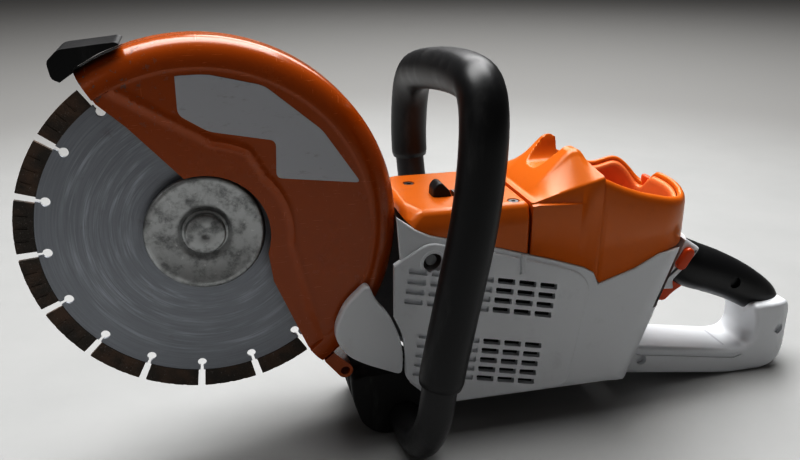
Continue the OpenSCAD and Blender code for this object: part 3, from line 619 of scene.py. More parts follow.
def sweep(path, radii, sides=32):
    """Extrudes a ring of edges along a path, turning it with the path."""
    bm = bmesh.new()
    turn = (path[1] - path[0]).to_track_quat("Z", "Y")
    ring = bmesh.ops.create_circle(bm, cap_ends=False, radius=1, segments=sides)["verts"]
    edges = list(bm.edges)
    frame_before = Matrix.LocRotScale(path[0], turn, Vector.Fill(3, radii[0]))
    bmesh.ops.transform(bm, matrix=frame_before, verts=ring)
    heading = path[1] - path[0]
    for i in range(1, len(path)):
        ahead = path[min(i + 1, len(path) - 1)] - path[i - 1]
        turn = heading.rotation_difference(ahead) @ turn
        heading = ahead
        frame_here = Matrix.LocRotScale(path[i], turn, Vector.Fill(3, radii[i]))
        grown = bmesh.ops.extrude_edge_only(bm, edges=edges)["geom"]
        ring = [g for g in grown if isinstance(g, bmesh.types.BMVert)]
        edges = [g for g in grown if isinstance(g, bmesh.types.BMEdge) and all(v in ring for v in g.verts)]
        bmesh.ops.transform(bm, matrix=frame_here @ frame_before.inverted(), verts=ring)
        frame_before = frame_here
    return bm


def bar(path, radii, sides=32):
    """A sweep with closed ends."""
    bm = sweep(path, radii, sides)
    bmesh.ops.holes_fill(bm, edges=[e for e in bm.edges if e.is_boundary], sides=0)
    return bm

STEPS = 10
route = smooth_route(BAR_ROUTE, STEPS)
tube = bar(route, [TUBE_R] * len(route))
make_piece("handlebar_tube_bent", tube, "root", "bar_tube", ["handlebar_tube"])
first, last = (1 + round(s * STEPS) for s in SLEEVE_SPAN)
sleeve_path = route[first:last + 1]
END_DROP = 0.8
SLEEVE_THICK = SLEEVE_R - TUBE_R - 0.1 - END_DROP
inner_stations = len(sleeve_path) - 2
sleeve = sweep(sleeve_path, [SLEEVE_R - END_DROP] + [SLEEVE_R] * inner_stations + [SLEEVE_R - END_DROP])
sleeve_piece = make_piece("handlebar_sleeve_rubber", sleeve, "root", "black_rubber", ["handlebar_sleeve"])
add_modifier(sleeve_piece, "SOLIDIFY", thickness=SLEEVE_THICK * MM, offset=-1)

# %% [markdown]
# ## The guard
# The real guard is two deep-drawn sheets with a rolled rim. A profile is spun about the spindle, so the
# rim's shoulder is one smooth surface. The near face is then pressed in along its open edge: every vertex
# looks up its distance to the crease and moves by a smooth step, as a press tool would do it. The
# thickness comes from Solidify and the wheel's opening from one Boolean.

# %% Guard sheet
def places(*points):
    return [Vector(p) for p in points]

EDGE = places((-72, 104), (-40, 74)) + arc(0, 0, 41, 104, -20, 16) + places((41, -34), (69, -103))
CREASE = (places((-76, 117), (-53, 100), (-22, 80)) + arc(0, 0, 62, 82, 62, 4)
          + arc(0, 0, 54, 44, -8, 10) + places((64, -55), (78, -100)))
RIM_START, RIM_END = -54, 122
FACE_R = 108
SHEET = 1.6
BAND_DROP = 2.0
BEAD_HEIGHT = 0.9
FACE_Y = GUARD_NEAR + 0.7
GUARD_HALF = (GUARD_FAR - GUARD_NEAR) / 2
GUARD_MID = (GUARD_FAR + GUARD_NEAR) / 2


def unit(value):
    """Holds a number between 0 and 1."""
    return max(0.0, min(1.0, value))


def beside(p, line):
    """Distance from a point to a line of points, positive on the side of the spindle."""
    best, side = 1e9, 1
    for a, b in zip(line, line[1:]):
        span = b - a
        t = unit((p - a).dot(span) / span.length_squared)
        gap = p - (a + span * t)
        if gap.length < best:
            best = gap.length
            side = 1 if span.x * (p - a).y - span.y * (p - a).x < 0 else -1
    return best * side


def smooth_step(value, low, high):
    """0 below low, 1 above high, smooth between."""
    t = unit((value - low) / (high - low))
    return t * t * (3 - 2 * t)

RIM_FLAT = 7
SHOULDER = GUARD_HALF - RIM_FLAT
near_face = [(30 + 1.6 * k, FACE_Y) for k in range(48)]
step_up = [(FACE_R - 1.4, FACE_Y), (FACE_R - 0.7, FACE_Y - 0.5), (FACE_R + 0.2, GUARD_NEAR)]
half_rim = [(FACE_R + (GUARD_R - FACE_R) * math.sin(a), RIM_FLAT + SHOULDER * math.cos(a))
            for a in (math.radians(90 * k / 10) for k in range(1, 11))]
rim = [(r, GUARD_MID - h) for r, h in half_rim] + [(r, GUARD_MID + h) for r, h in reversed(half_rim)]
far_face = [(FACE_R, GUARD_FAR), (90, GUARD_FAR), (60, GUARD_FAR), (30.4, GUARD_FAR)]
guard = bmesh.new()
chain = [guard.verts.new((SPINDLE.x + r, y, SPINDLE.z)) for r, y in near_face + step_up + rim + far_face]
links = [guard.edges.new(pair) for pair in zip(chain, chain[1:])]
bmesh.ops.rotate(guard, cent=SPINDLE, matrix=Matrix.Rotation(math.radians(-RIM_START), 3, "Y"), verts=chain)
bmesh.ops.spin(guard, geom=chain + links, cent=SPINDLE, axis=(0, -1, 0), steps=120,
               angle=math.radians(RIM_END - RIM_START))
for v in guard.verts:
    spot = Vector((v.co.x - SPINDLE.x, v.co.z - SPINDLE.z))
    if v.co.y < FACE_Y + 0.1 and spot.length < FACE_R - 1:
        inward = beside(spot, CREASE)
        v.co.y += BAND_DROP * smooth_step(inward, -0.5, 3.0)
        v.co.y -= BEAD_HEIGHT * (1 - smooth_step(abs(inward + 1.5), 0.4, 2.4))
bmesh.ops.recalc_face_normals(guard, faces=guard.faces)
top = max(guard.faces, key=lambda f: f.calc_center_median().z)
if top.normal.z < 0:
    bmesh.ops.reverse_faces(guard, faces=guard.faces)
bmesh.ops.solidify(guard, geom=guard.faces, thickness=SHEET)
print("guard sheet:", len(guard.faces), "faces")

# %% Guard opening and hub hole
HUB_D = 88


def from_spindle(points):
    return [SPINDLE.xz + Vector(p) for p in points]

mouth = from_spindle(EDGE + places((69, -160), (-170, -160), (-170, 104)))
near_cut = slab(mouth, GUARD_NEAR - 4, GUARD_MID)
hub = rod(SPINDLE.x, SPINDLE.z, HUB_D, GUARD_MID - 1, GUARD_FAR + 5, 64)
far_cut = carve(slab(mouth, GUARD_MID - 0.01, GUARD_FAR + 4), hub)
guard = carve(guard, near_cut, far_cut)
guard_piece = make_piece("guard_cover", guard, "guard", "guard_orange",
                         ["guard_left_shell", "guard_right_shell", "guard_rim"])
crisp_edges(guard_piece, 0.45)

# %% [markdown]
# ## The label and the bumper
# The label is a thin film. It stays blank: a dark sheet with a smaller pale one on top, so that a dark
# border shows all round. The bumper is a folded black cap over the guard's lip.

# %% Label and bumper
LABEL = [(-10, 109), (7, 108), (42, 95), (76, 66), (100, 30), (46, 37), (47, 61), (7, 69), (-10, 80)]
LABEL_R = 103.5
BORDER = 1.1
label_outline = []
for p in soften(from_spindle(LABEL), 4):
    out = p - SPINDLE.xz
    label_outline.append(SPINDLE.xz + out.normalized() * min(out.length, LABEL_R))
border = slab(label_outline, FACE_Y - 0.22, FACE_Y - 0.02)
make_piece("guard_label_border", border, "guard", "label_border", ["guard_label"])
film = slab(shrink(label_outline, BORDER), FACE_Y - 0.34, FACE_Y - 0.2)
make_piece("guard_label_film", film, "guard", "label_film")
BUMPER = [(-79, 113.5), (-77.5, 103.5), (-71, 100.5), (-65, 106.4), (-66.6, 108.2), (-50, 117.4),
          (-38, 121.8), (-41, 123.2), (-72, 120)]
bumper = slab(soften(from_spindle(BUMPER), 2.5), GUARD_MID - 17, GUARD_MID + 17)
bumper = carve(bumper, rod(SPINDLE.x, SPINDLE.z, 2 * GUARD_R + 0.1, -80, 40, 180))
bumper_piece = make_piece("guard_bumper_cap", bumper, "guard", "black_rubber", ["guard_bumper"])
soft_edges(bumper_piece, 1.8, 4, 45)

# %% [markdown]
# ## Flange and clamping nut
# The outer flange is a turned and zinc-plated disc: a rolled edge, a shallow cone down to a groove, and
# the round nut in its middle with a small centre dimple. A lathe does here what a lathe does in steel.

# %% Flange and nut
flange_low, flange_high = node_box("outer_flange")
nut_low, nut_high = node_box("flange_bolt")
RIM_Y = flange_low.y
BACK_Y = SPINDLE.y - 1.05
FLANGE_R = (flange_high.x - flange_low.x) / 2
flange_profile = [(7.4, BACK_Y), (FLANGE_R - 6, BACK_Y), (FLANGE_R - 2.4, BACK_Y - 2.6)]
flange_profile += [(FLANGE_R - inset, RIM_Y + drop) for inset, drop in (
    (0.5, 2.8), (0, 1.8), (0.5, 0.6), (1.6, 0), (4.2, 0), (5.6, 0.5))]
flange_profile += [(20, RIM_Y + 1.6), (16.8, RIM_Y + 1.9), (16.1, RIM_Y + 2.8), (7.4, RIM_Y + 2.8)]
make_piece("flange_disc", lathe(flange_profile, 128), "wheel", "zinc", ["outer_flange"],
           sharp=math.radians(60))
NUT_Y = nut_low.y + 2.4
nut_profile = [(0, NUT_Y + 1.4), (1.5, NUT_Y + 1.2), (2.6, NUT_Y + 0.3), (3.6, NUT_Y), (11.4, NUT_Y),
               (12.6, NUT_Y + 0.5), (13.1, NUT_Y + 1.7), (13.1, RIM_Y + 1.9), (14.6, RIM_Y + 2.3),
               (14.6, RIM_Y + 2.9), (0, RIM_Y + 2.9)]
make_piece("clamp_nut", lathe(nut_profile, 64), "wheel", "zinc", ["flange_bolt"], sharp=math.radians(50))
print(f"flange face at y {RIM_Y:.1f}, nut face at y {NUT_Y:.1f} mm")

# %% [markdown]
# ## The battery hood
# The hood is the saw's most sculpted cover. Its front is a height field: a grid of vertices whose height is
# worked out from two crests, a scooped valley between them and a slope down to each side. The rear is a
# horseshoe: rings of edges along the plan stand at several levels, up the outer wall, over a round rim
# whose height changes along the way, and down inside the well. Faces bridge each ring to the next.

# %% Hood dimensions
DECK_Z = 173
DECK_END = 40
HALF = 47
REAR_LEAN = 0.35
CREST_X, CREST_Y, CREST_Z = 77, 25, 203
VALLEY_Y, VALLEY_Z = 3, 185
CROWN_HALF = 44
WELL_FRONT = 84
LIP_END = 92
HOOD_REAR, CORNER_R = 172, 32
HOOD_WALL = 2.6
WAIST_GAP = 0.4
WAIST = [(-56, 172), (-43, 162), (-33, 157), (17, 143), (59, 130), (82, 122), (90, 117), (94, 108)]
WAIST_RISE = [(94, 108), (122, 117), (141, 127), (174, 131)]


def rear_x(z):
    """Where the leaning rear wall stands at a height."""
    return 135.6 + (z - 22) * REAR_LEAN


def straight(value, table):
    """Reads a table of (position, height) pairs with straight lines between them."""
    for (a, low), (b, high) in zip(table, table[1:]):
        if value <= b:
            return low + (high - low) * max(0.0, value - a) / (b - a)
    return table[-1][1]


def flowing(value, table, reach=5):
    """Reads a table with straight lines, averaged over a short reach so that its corners flow."""
    return sum(straight(value + reach * k / 2, table) for k in range(-2, 3)) / 5


def waist_z(x):
    """Height of the line where the orange covers meet the light shells."""
    return straight(x, WAIST if x <= 94 else WAIST_RISE)


def hood_height(x, y):
    """Height of the hood's front: crests, facets, valley."""
    side = abs(y)
    crest = straight(x, [(DECK_END, DECK_Z), (45, DECK_Z), (74, 201.5), (CREST_X, CREST_Z),
                         (81, CREST_Z), (86, 200)])
    edge = straight(x, [(DECK_END, DECK_Z), (43, DECK_Z), (LIP_END, 188)])
    facet = unit((side - CREST_Y) / 19)
    blend = smooth_step(side, CREST_Y - 4, CREST_Y + 2) * 0.12 + facet * 0.88
    z = crest + (edge - crest) * blend
    across = y - VALLEY_Y
    valley = VALLEY_Z + (across / 15) ** 4 * 12 if abs(across) < 24 else 300
    return min(z, valley) if x > 46 else z

# %% Hood front
COLUMNS, ROWS = 54, 96
front = bmesh.new()
bmesh.ops.create_grid(front, x_segments=COLUMNS, y_segments=ROWS, size=1)
for v in front.verts:
    u, w = (v.co.x + 1) / 2, v.co.y
    y = w * CROWN_HALF
    end = WELL_FRONT + (LIP_END - WELL_FRONT) * unit((abs(y) - 24) / 18)
    x = DECK_END + 0.3 + u * (end - DECK_END - 0.3)
    wide = CROWN_HALF + (HALF - CROWN_HALF) * smooth_step(x, 60, LIP_END)
    v.co = (x, w * wide, hood_height(x, y))
chain = [e for e in front.edges if e.is_boundary]


def grow(bm, edges, place):
    """Extrudes a chain of edges and puts each new vertex where place(vertex) says."""
    grown = bmesh.ops.extrude_edge_only(bm, edges=edges)["geom"]
    verts = [g for g in grown if isinstance(g, bmesh.types.BMVert)]
    for v in verts:
        v.co = place(v.co.copy())
    fresh = set(verts)
    return [g for g in grown if isinstance(g, bmesh.types.BMEdge) and all(v in fresh for v in g.verts)]


def round_over(p):
    wide = abs(p.y) > CROWN_HALF - 0.1 or p.x > WELL_FRONT - 0.2
    return Vector((p.x + (0.5 if p.x > WELL_FRONT - 0.2 else 0), p.y * (1.012 if wide else 1), p.z - 1.2))


def ledge_top(p):
    return Vector((p.x, p.y, min(p.z, straight(p.x, [(DECK_END, DECK_Z - 0.5), (LIP_END, 170)]))))


def ledge_edge(p):
    on_side = abs(p.y) > HALF - 0.2 or (abs(p.y) > CROWN_HALF - 0.5 and p.x < LIP_END - 1.5)
    return Vector((p.x, math.copysign(HALF, p.y) if on_side else p.y, p.z - 0.8))


def to_waist(p):
    return Vector((p.x, p.y, waist_z(p.x) + WAIST_GAP if abs(p.y) > CROWN_HALF - 1 else 150))

for place in (round_over, ledge_top, ledge_edge, to_waist):
    chain = grow(front, chain, place)
front_piece = make_piece("hood_front", front, "root", "orange_plastic", ["battery_hood"],
                         sharp=math.radians(42))
add_modifier(front_piece, "SOLIDIFY", thickness=HOOD_WALL * MM, offset=-1)

# %% [markdown]
# ### The rim and the well
# The rim's height is a short table along its way round: down from the near crest, low at the near rear
# corner, level over the rear, a notch for the latch, a hump on the far side and up to the far crest.

# %% Hood rear and well liner
RIM = [(0, 187), (13, 180.5), (31, 173.8), (54, 168.4), (70, 166), (82, 166), (98, 169), (102, 170.5),
       (124, 170.5), (128, 169), (134, 159), (147, 158.5), (156, 168), (164, 174), (171, 177), (192, 172),
       (214, 180), (227, 187)]


SEAM = 0.5
SPACING = 2.4
CORNER_STEPS = 22


def hood_plan(inset):
    """Plan of the hood's horseshoe, from near to far, with the way along its outer line."""
    r, side = CORNER_R - inset, HALF - inset
    straight_run = HOOD_REAR - CORNER_R - LIP_END
    flat = 2 * (HALF - CORNER_R)
    points = []
    for k in range(round(straight_run / SPACING) + 1):
        t = min(1, k * SPACING / straight_run)
        points.append((LIP_END + SEAM + t * (straight_run - SEAM), -side, t * straight_run))
    turn = math.pi / 2 * CORNER_R
    for k in range(1, CORNER_STEPS + 1):
        a = math.pi / 2 * k / CORNER_STEPS
        x, y = HOOD_REAR - CORNER_R + r * math.sin(a), -(HALF - CORNER_R) - r * math.cos(a)
        points.append((x, y, straight_run + turn * k / CORNER_STEPS))
    for k in range(1, 7):
        points.append((HOOD_REAR - inset, -flat / 2 + flat * k / 6, straight_run + turn + flat * k / 6))
    half_way = straight_run + turn + flat / 2
    back = [(x, -y, 2 * half_way - s) for x, y, s in points[:-4]]
    return points[:-3] + back[::-1]


LEVELS = [(0.0, None), (0.0, -6.0), (0.5, -3.0), (1.6, -1.0), (3.2, 0.0), (4.6, 0.0), (5.6, -0.8),
          (6.0, -2.2), (6.1, -5.5)]
rear = bmesh.new()
rings = []
for inset, drop in LEVELS:
    ring = []
    for x, y, s in hood_plan(inset):
        bottom = max(waist_z(x), 98) + WAIST_GAP
        ring.append(rear.verts.new((x, y, bottom if drop is None else flowing(s, RIM) + drop)))
    rings.append([rear.edges.new(pair) for pair in zip(ring, ring[1:])])
for lower, upper in zip(rings, rings[1:]):
    bmesh.ops.bridge_loops(rear, edges=lower + upper)
rear_piece = make_piece("hood_rear", rear, "root", "orange_plastic", sharp=math.radians(50))
add_modifier(rear_piece, "SOLIDIFY", thickness=1.2 * MM, offset=-1)

LINER = [(6.3, -4.2), (8.4, -4.9), (8.9, -5.6), (9.2, -8.0), (9.8, None)]
WELL_FLOOR = 111
liner = bmesh.new()
rings = []
for inset, drop in LINER:
    loop = hood_plan(inset)
    loop = loop + [(WELL_FRONT + 1.5 + inset / 3, y, 0) for y in (36, 24, 12, 0, -12, -24, -36)]
    ring = [liner.verts.new((min(x, rear_x(WELL_FLOOR) - 8) if drop is None else x, y,
                             WELL_FLOOR if drop is None else flowing(s, RIM) + drop)) for x, y, s in loop]
    rings.append([liner.edges.new(pair) for pair in zip(ring, ring[1:] + ring[:1])])
for lower, upper in zip(rings, rings[1:]):
    bmesh.ops.bridge_loops(liner, edges=lower + upper)
bmesh.ops.holes_fill(liner, edges=rings[-1], sides=0)
bmesh.ops.recalc_face_normals(liner, faces=liner.faces)
bmesh.ops.reverse_faces(liner, faces=liner.faces)
liner_piece = make_piece("well_liner", liner, "root", "well_orange", ["battery_shaft"],
                         sharp=math.radians(50), recalc=False)
add_modifier(liner_piece, "SOLIDIFY", thickness=1.0 * MM, offset=-1)

# %% [markdown]
# ## The front deck
# The deck cover is a soft-edged lid. It starts as the convex hull of three plates, so its front corners are
# cut back like the real ones. Its upper edges are rounded first. Then the wrench tray, the screw wells and
# the guard's round pocket are carved out, and a finer bevel softens what the carving left.

# %% Deck cover
POCKET_R = 129
DECK_SCREWS = [(-30, 20), (30, -36), (30, 36)]


def pocket(grow_by=0.0):
    return rod(SPINDLE.x, SPINDLE.z, 2 * (POCKET_R + grow_by), GUARD_NEAR - 3, GUARD_FAR + 3, 160)

deck = bmesh.new()
DECK_REAR = DECK_END - 0.4
PLATES = [((-50, -HALF, 125), (DECK_REAR, HALF, 162)),
          ((-38, 4 - HALF, DECK_Z - 1), (DECK_REAR, HALF - 4, DECK_Z)),
          ((-47, -22, DECK_Z - 1), (-26, 22, DECK_Z))]
for low, high in PLATES:
    for x in (low[0], high[0]):
        for y in (low[1], high[1]):
            for z in (low[2], high[2]):
                deck.verts.new((x, y, z))
hull = bmesh.ops.convex_hull(deck, input=deck.verts)
spare = {g for g in hull["geom_interior"] + hull["geom_unused"] if isinstance(g, bmesh.types.BMVert)}
bmesh.ops.delete(deck, geom=list(spare), context="VERTS")
bmesh.ops.dissolve_limit(deck, angle_limit=math.radians(1), verts=deck.verts, edges=deck.edges)


def rise(edge):
    return abs(edge.verts[0].co.z - edge.verts[1].co.z)

upper = [e for e in deck.edges if min(v.co.z for v in e.verts) > 150 or rise(e) > 15]
bmesh.ops.bevel(deck, geom=upper, offset=4, affect="EDGES", segments=5, profile=0.5, material=-1,
                clamp_overlap=True)
below = slab([(-70, 110), (-70, 178)] + [(x, z + WAIST_GAP) for x, z in WAIST[:5]] + [(60, 110)], -60, 60)
tray = block((-22, -17, DECK_Z - 2.2), (30, -3, DECK_Z + 8))
bmesh.ops.bevel(tray, geom=[e for e in tray.edges if rise(e) > 5], offset=4, affect="EDGES",
                segments=5, profile=0.5, material=-1)
wells = []
for x, y in DECK_SCREWS:
    well = bmesh.new()
    bmesh.ops.create_cone(well, cap_ends=True, segments=40, radius1=4.1, radius2=5.2, depth=8,
                          matrix=Matrix.Translation((x, y, DECK_Z + 2)))
    wells.append(well)
inside = block((-36, 4 - HALF, 120), (DECK_END - 3, HALF - 4, DECK_Z - 3.2))
deck = carve(deck, below, tray, inside, pocket(), *wells)
deck_piece = make_piece("deck_cover", deck, "root", "orange_plastic", ["top_cover"])
soft_edges(deck_piece, 0.7)

# %% [markdown]
# ## The light housing shells
# Each half shell is the side view pulled to the middle plane, then cut by two more views: a plan with big
# round rear corners that leans with the rear wall, and a cross-section with a round belly. Inside it is
# hollow. The near half also carries a raised panel, cooling slots and a deep round screw recess.

# %% Housing views
BODY_HALF = 48
PANEL_OUT = 1.8
SHELL = 3
BODY = WAIST + WAIST_RISE[1:3] + [(rear_x(131), 131), (rear_x(22), 22), (60, 20), (-22, 22), (-46, 46)]
PANEL = [(-34, 153), (17, 139.5), (59, 126.5), (79, 119), (87, 108), (80, 60), (74, 28), (-18, 27),
         (-50, 50), (-50, 70), (-52, 86), (-60, 104), (-76, 128)]
RECESS_X, RECESS_Z, RECESS_D = -31, 138, 13.8


def prism(points, vec):
    """A closed prism: one cap through the points, pulled along vec."""
    bm = bmesh.new()
    cap = bm.faces.new([bm.verts.new(p) for p in points])
    grown = bmesh.ops.extrude_face_region(bm, geom=[cap])["geom"]
    bmesh.ops.translate(bm, vec=vec, verts=[g for g in grown if isinstance(g, bmesh.types.BMVert)])
    return bm


def rear_view(half, radius=26, shift=0.0):
    """A tall prism with round rear corners that leans with the rear wall."""
    corners = arc(-radius, half - radius, radius, 90, 0, 12) + arc(-radius, radius - half, radius, 0, -90, 12)
    plan = places((-400, half)) + corners + places((-400, -half))
    bm = prism([(p.x, p.y, -200) for p in plan], (0, 0, 500))
    lean = Matrix.Translation((rear_x(22) + shift, 0, 22)) @ Matrix.Rotation(math.atan(REAR_LEAN), 4, "Y")
    bmesh.ops.transform(bm, matrix=lean, verts=bm.verts)
    return bm


def belly_view(half, radius=13, low=19.4):
    """The cross-section with a round belly, as a long prism along X."""
    corners = (arc(radius - half, low + radius, radius, 180, 270, 10)
               + arc(half - radius, low + radius, radius, 270, 360, 10))
    points = places((-half, 240)) + corners + places((half, 240))
    return prism([(-200, p.x, p.y) for p in points], (500, 0, 0))

PITCH_X, PITCH_Z, FALL = 16, 7.3, 3.5


def slots(y0, y1, columns, top_x, top_z, rows):
    """Rows of slanted slots that fall towards the rear, as one cutter."""
    bm = bmesh.new()
    for row in range(rows):
        for column in columns:
            x, z = top_x - row + column * PITCH_X, top_z - row * PITCH_Z - column * FALL
            one = slab(soften([(x, z), (x + 13, z - 2.8), (x + 13, z - 7), (x, z - 4.2)], 1.0, 3), y0, y1)
            mesh = bpy.data.meshes.new("slot")
            one.to_mesh(mesh)
            bm.from_mesh(mesh)
            bpy.data.meshes.remove(mesh)
            one.free()
    return bm


def vents(y0, y1, upper_columns, lower_columns):
    """The upper group of four rows and the lower group of five."""
    return [slots(y0, y1, upper_columns, 16, 122, 4), slots(y0, y1, lower_columns, 7, 76, 5)]


def hollow(side):
    """What is cut out of a half shell: its inside, the well, the arm's window and the guard's pocket."""
    y0, y1 = (SHELL - BODY_HALF, 1) if side < 0 else (-1, BODY_HALF - SHELL)
    window = [(-200, 100), (-200, 260), (-58, 260), (-58, 100)]
    middle = [(-32, 210), (-32, 130), (148, 80), (rear_x(80) - 3.6, 80), (rear_x(128) - 3.6, 128),
              (rear_x(128) - 3.6, 210)]
    inner = overlap(slab(shrink(BODY, SHELL), y0, y1), rear_view(BODY_HALF - SHELL, 23, -SHELL))
    passage = slab(middle, SHELL + 0.5 - BODY_HALF, BODY_HALF - SHELL - 0.5)
    return [inner, passage, slab(window, -60, 0), pocket()]

# %% Near shell
near = overlap(half_slab(BODY, -1, BODY_HALF, 1.2), rear_view(BODY_HALF), belly_view(BODY_HALF))
panel = slab(soften(PANEL, 7), -BODY_HALF - PANEL_OUT, 2 - BODY_HALF, 1.5, 0, 4)
collar = rod(RECESS_X, RECESS_Z, 18.4, -BODY_HALF - 2.3, 9 - BODY_HALF, 64, 0.7)
rib = slab(soften([(32.5, 137), (36, 136), (36.6, 123), (33.1, 123)], 0.8), -BODY_HALF - 2.3, -BODY_HALF, 0.8)
near = unite(near, panel, collar, rib)
recess = rod(RECESS_X, RECESS_Z, RECESS_D, -BODY_HALF - 6, 7 - BODY_HALF, 64)
groove = slab([(31.2, 139.5), (32.4, 139), (33.0, 123), (31.8, 123)], -BODY_HALF - 6, -BODY_HALF - 0.8)
open_slots = vents(-60, SHELL - BODY_HALF + 2, range(3), range(3))
blind_slots = vents(-60, 0.9 - BODY_HALF, (-4, -3, -2, -1), (-3, -2, -1))
near = carve(near, *hollow(-1), recess, groove, *open_slots, *blind_slots)
crisp_edges(make_piece("near_housing_shell", near, "root", "light_plastic", ["left_housing"]), 0.5)

# %% Far shell
far = overlap(half_slab(BODY, 1, BODY_HALF, 1.2), rear_view(BODY_HALF), belly_view(BODY_HALF))
ARM_PLAN = [(-225, 140), (-200, 215), (-120, 205), (52, 120), (52, 50), (-10, 36), (-60, 60)]
arm_room = slab(soften(ARM_PLAN, 30, 8), 0, BODY_HALF - 5)
far_slots = vents(BODY_HALF - SHELL - 2, 60, range(3), range(3))
far = carve(far, *hollow(1), arm_room, rod(SPINDLE.x, SPINDLE.z, 200, -5, 60, 128), *far_slots)
crisp_edges(make_piece("far_housing_shell", far, "root", "light_plastic", ["right_housing"]), 0.5)

# %% Dark sheets behind the slots: painted shade
# Painted shade: black sheets stand behind the vent slots so that the slots read dark, in place of the shade
# inside the body.
for name, y0, y1 in (("near_vent_screen", 3.6 - BODY_HALF, 4.0 - BODY_HALF),
                     ("far_vent_screen", BODY_HALF - 4.0, BODY_HALF - 3.6)):
    shade_sheet = unite(block((11, y0, 78), (64, y1, 124)), block((0, y0, 28), (58, y1, 79)))
    make_piece(name, shade_sheet, "root", "black_plastic")

# %% [markdown]
# ## The nose cover
# The nose covers the front of the near shell. It is a thick cap with a rounded outer edge, and it stands a
# little proud of the panel.

# %% Nose cover
NOSE = [(-76, 128), (-92, 113), (-98.5, 98), (-98.5, 87), (-90, 73.5), (-78, 66), (-52, 54), (-51.5, 70),
        (-53.5, 84), (-61, 102), (-70, 113)]
nose = slab(soften(NOSE, 6), -BODY_HALF - PANEL_OUT - 0.2, 5 - BODY_HALF, 2.2, 0, 5)
flat_panels(make_piece("nose_cap", nose, "root", "light_plastic", ["nose_cover"]))

# %% [markdown]
# ## The rear handle
# Two half shells form the white loop: a strut near the ground, a broad end cap, and a short neck under the
# hood. The loop is narrower at its end: extra cuts are made there, and each vertex is drawn in to a round
# plan. The black grip over the top bar is a sweep along a sloping line, with a thin parting groove where
# its halves meet.

# %% Handle shells
STRUT_HALF, NECK_HALF = 23, 19
HANDLE_END = 293
END_R = 20
RIM_WIDTH, NECK_RIM = 3.4, 3.5
SPARE = 2
LOOP = [(rear_x(38) + 0.3, 38), (rear_x(14) + 0.3, 14), (232, 0), (268, 0), (283, 7), (291.5, 20),
        (HANDLE_END, 35), (291, 49), (284, 61), (268, 60), (250, 60), (255, 46), (255, 30), (250, 22.5),
        (238, 21.5)]
NECK = [(rear_x(127) + 0.4, 127), (rear_x(127) + 6, 126), (196, 114), (187, 101), (175, 89), (177, 81),
        (rear_x(82) + 0.4, 83)]


def handle_half(side):
    """One half of the handle's loop and neck; side is -1 near and 1 far."""
    loop = half_slab(soften(LOOP, 7), side, STRUT_HALF, RIM_WIDTH)
    edge = HANDLE_END - END_R
    for k in range(8):
        cut = edge + END_R * math.sin(math.radians(11 * k))
        everything = loop.verts[:] + loop.edges[:] + loop.faces[:]
        bmesh.ops.bisect_plane(loop, geom=everything, plane_co=(cut, 0, 0), plane_no=(1, 0, 0))
    for v in loop.verts:
        if v.co.x > edge:
            round_end = math.sqrt(max(0.0, END_R ** 2 - (v.co.x - edge) ** 2))
            v.co.y *= (STRUT_HALF - END_R + round_end + SPARE) / (STRUT_HALF + SPARE)
    bmesh.ops.triangulate(loop, faces=loop.faces[:])
    neck = half_slab(soften(NECK, 2.5), side, NECK_HALF, NECK_RIM)
    room_for_trigger = slab([(157, 66), (162, 100), (182, 107), (232, 90), (226, 66)], -7, 7)
    both = unite(loop, neck)
    seats = [rod(x, z, 8.6, side * 34 - 15, side * 34 + 15, 40) for x, z in ((277, 36), (152, 24))]
    strip = soften([(146, 32.5), (147, 29), (238, 14), (246, 17), (238, 18.5)], 1.5)
    channel = slab(strip, side * 26 - 4.2, side * 26 + 4.2)
    return carve(both, room_for_trigger, channel, *seats)

near_handle = make_piece("handle_shell_near", handle_half(-1), "root", "light_plastic", ["rear_handle_left"])
crisp_edges(near_handle, 0.4, 55)
far_handle = make_piece("handle_shell_far", handle_half(1), "root", "light_plastic", ["rear_handle_right"])
crisp_edges(far_handle, 0.4, 55)

# %% Grip
GRIP_LINE = [(182, 103, 17), (190, 98, 18.5), (199, 93, 19), (217.5, 86.3, 18.2), (240.5, 75.8, 16.9),
             (259.5, 64.5, 15.8), (273, 54.5, 14.5), (281, 49.5, 9.5), (283, 48, 8.5)]
GROOVE_DEPTH = 0.6
GRIP_SCREW = (233, 80)
grip_route = smooth_route([(x, 0, z, r) for x, z, r in GRIP_LINE], 5)
grip_path = [p.xyz for p in grip_route]
grip = bar(grip_path, [p.w for p in grip_route], 40)
screw_seat = rod(*GRIP_SCREW, 9.5, -30, -14, 40)
trigger_way = slab([(160, 60), (165, 100), (212, 84), (212, 60)], -7.5, 7.5)
parting = slab([(150, 30), (150, 130), (300, 130), (300, 30)], -0.25, 0.25)
heart = bar(grip_path, [p.w - GROOVE_DEPTH for p in grip_route], 40)
grip = carve(grip, screw_seat, carve(parting, heart), trigger_way)
make_piece("grip_rubber", grip, "root", "black_rubber", ["grip_cover"], sharp=math.radians(48))

# %% [markdown]
# ## Trigger, lock-out button and latch
# The three orange controls are small mouldings with soft edges. The trigger has a hollow for the finger,
# the lock-out button is a pill that stands out of the neck's near side, and the latch lever sits low in
# the hood's notch.

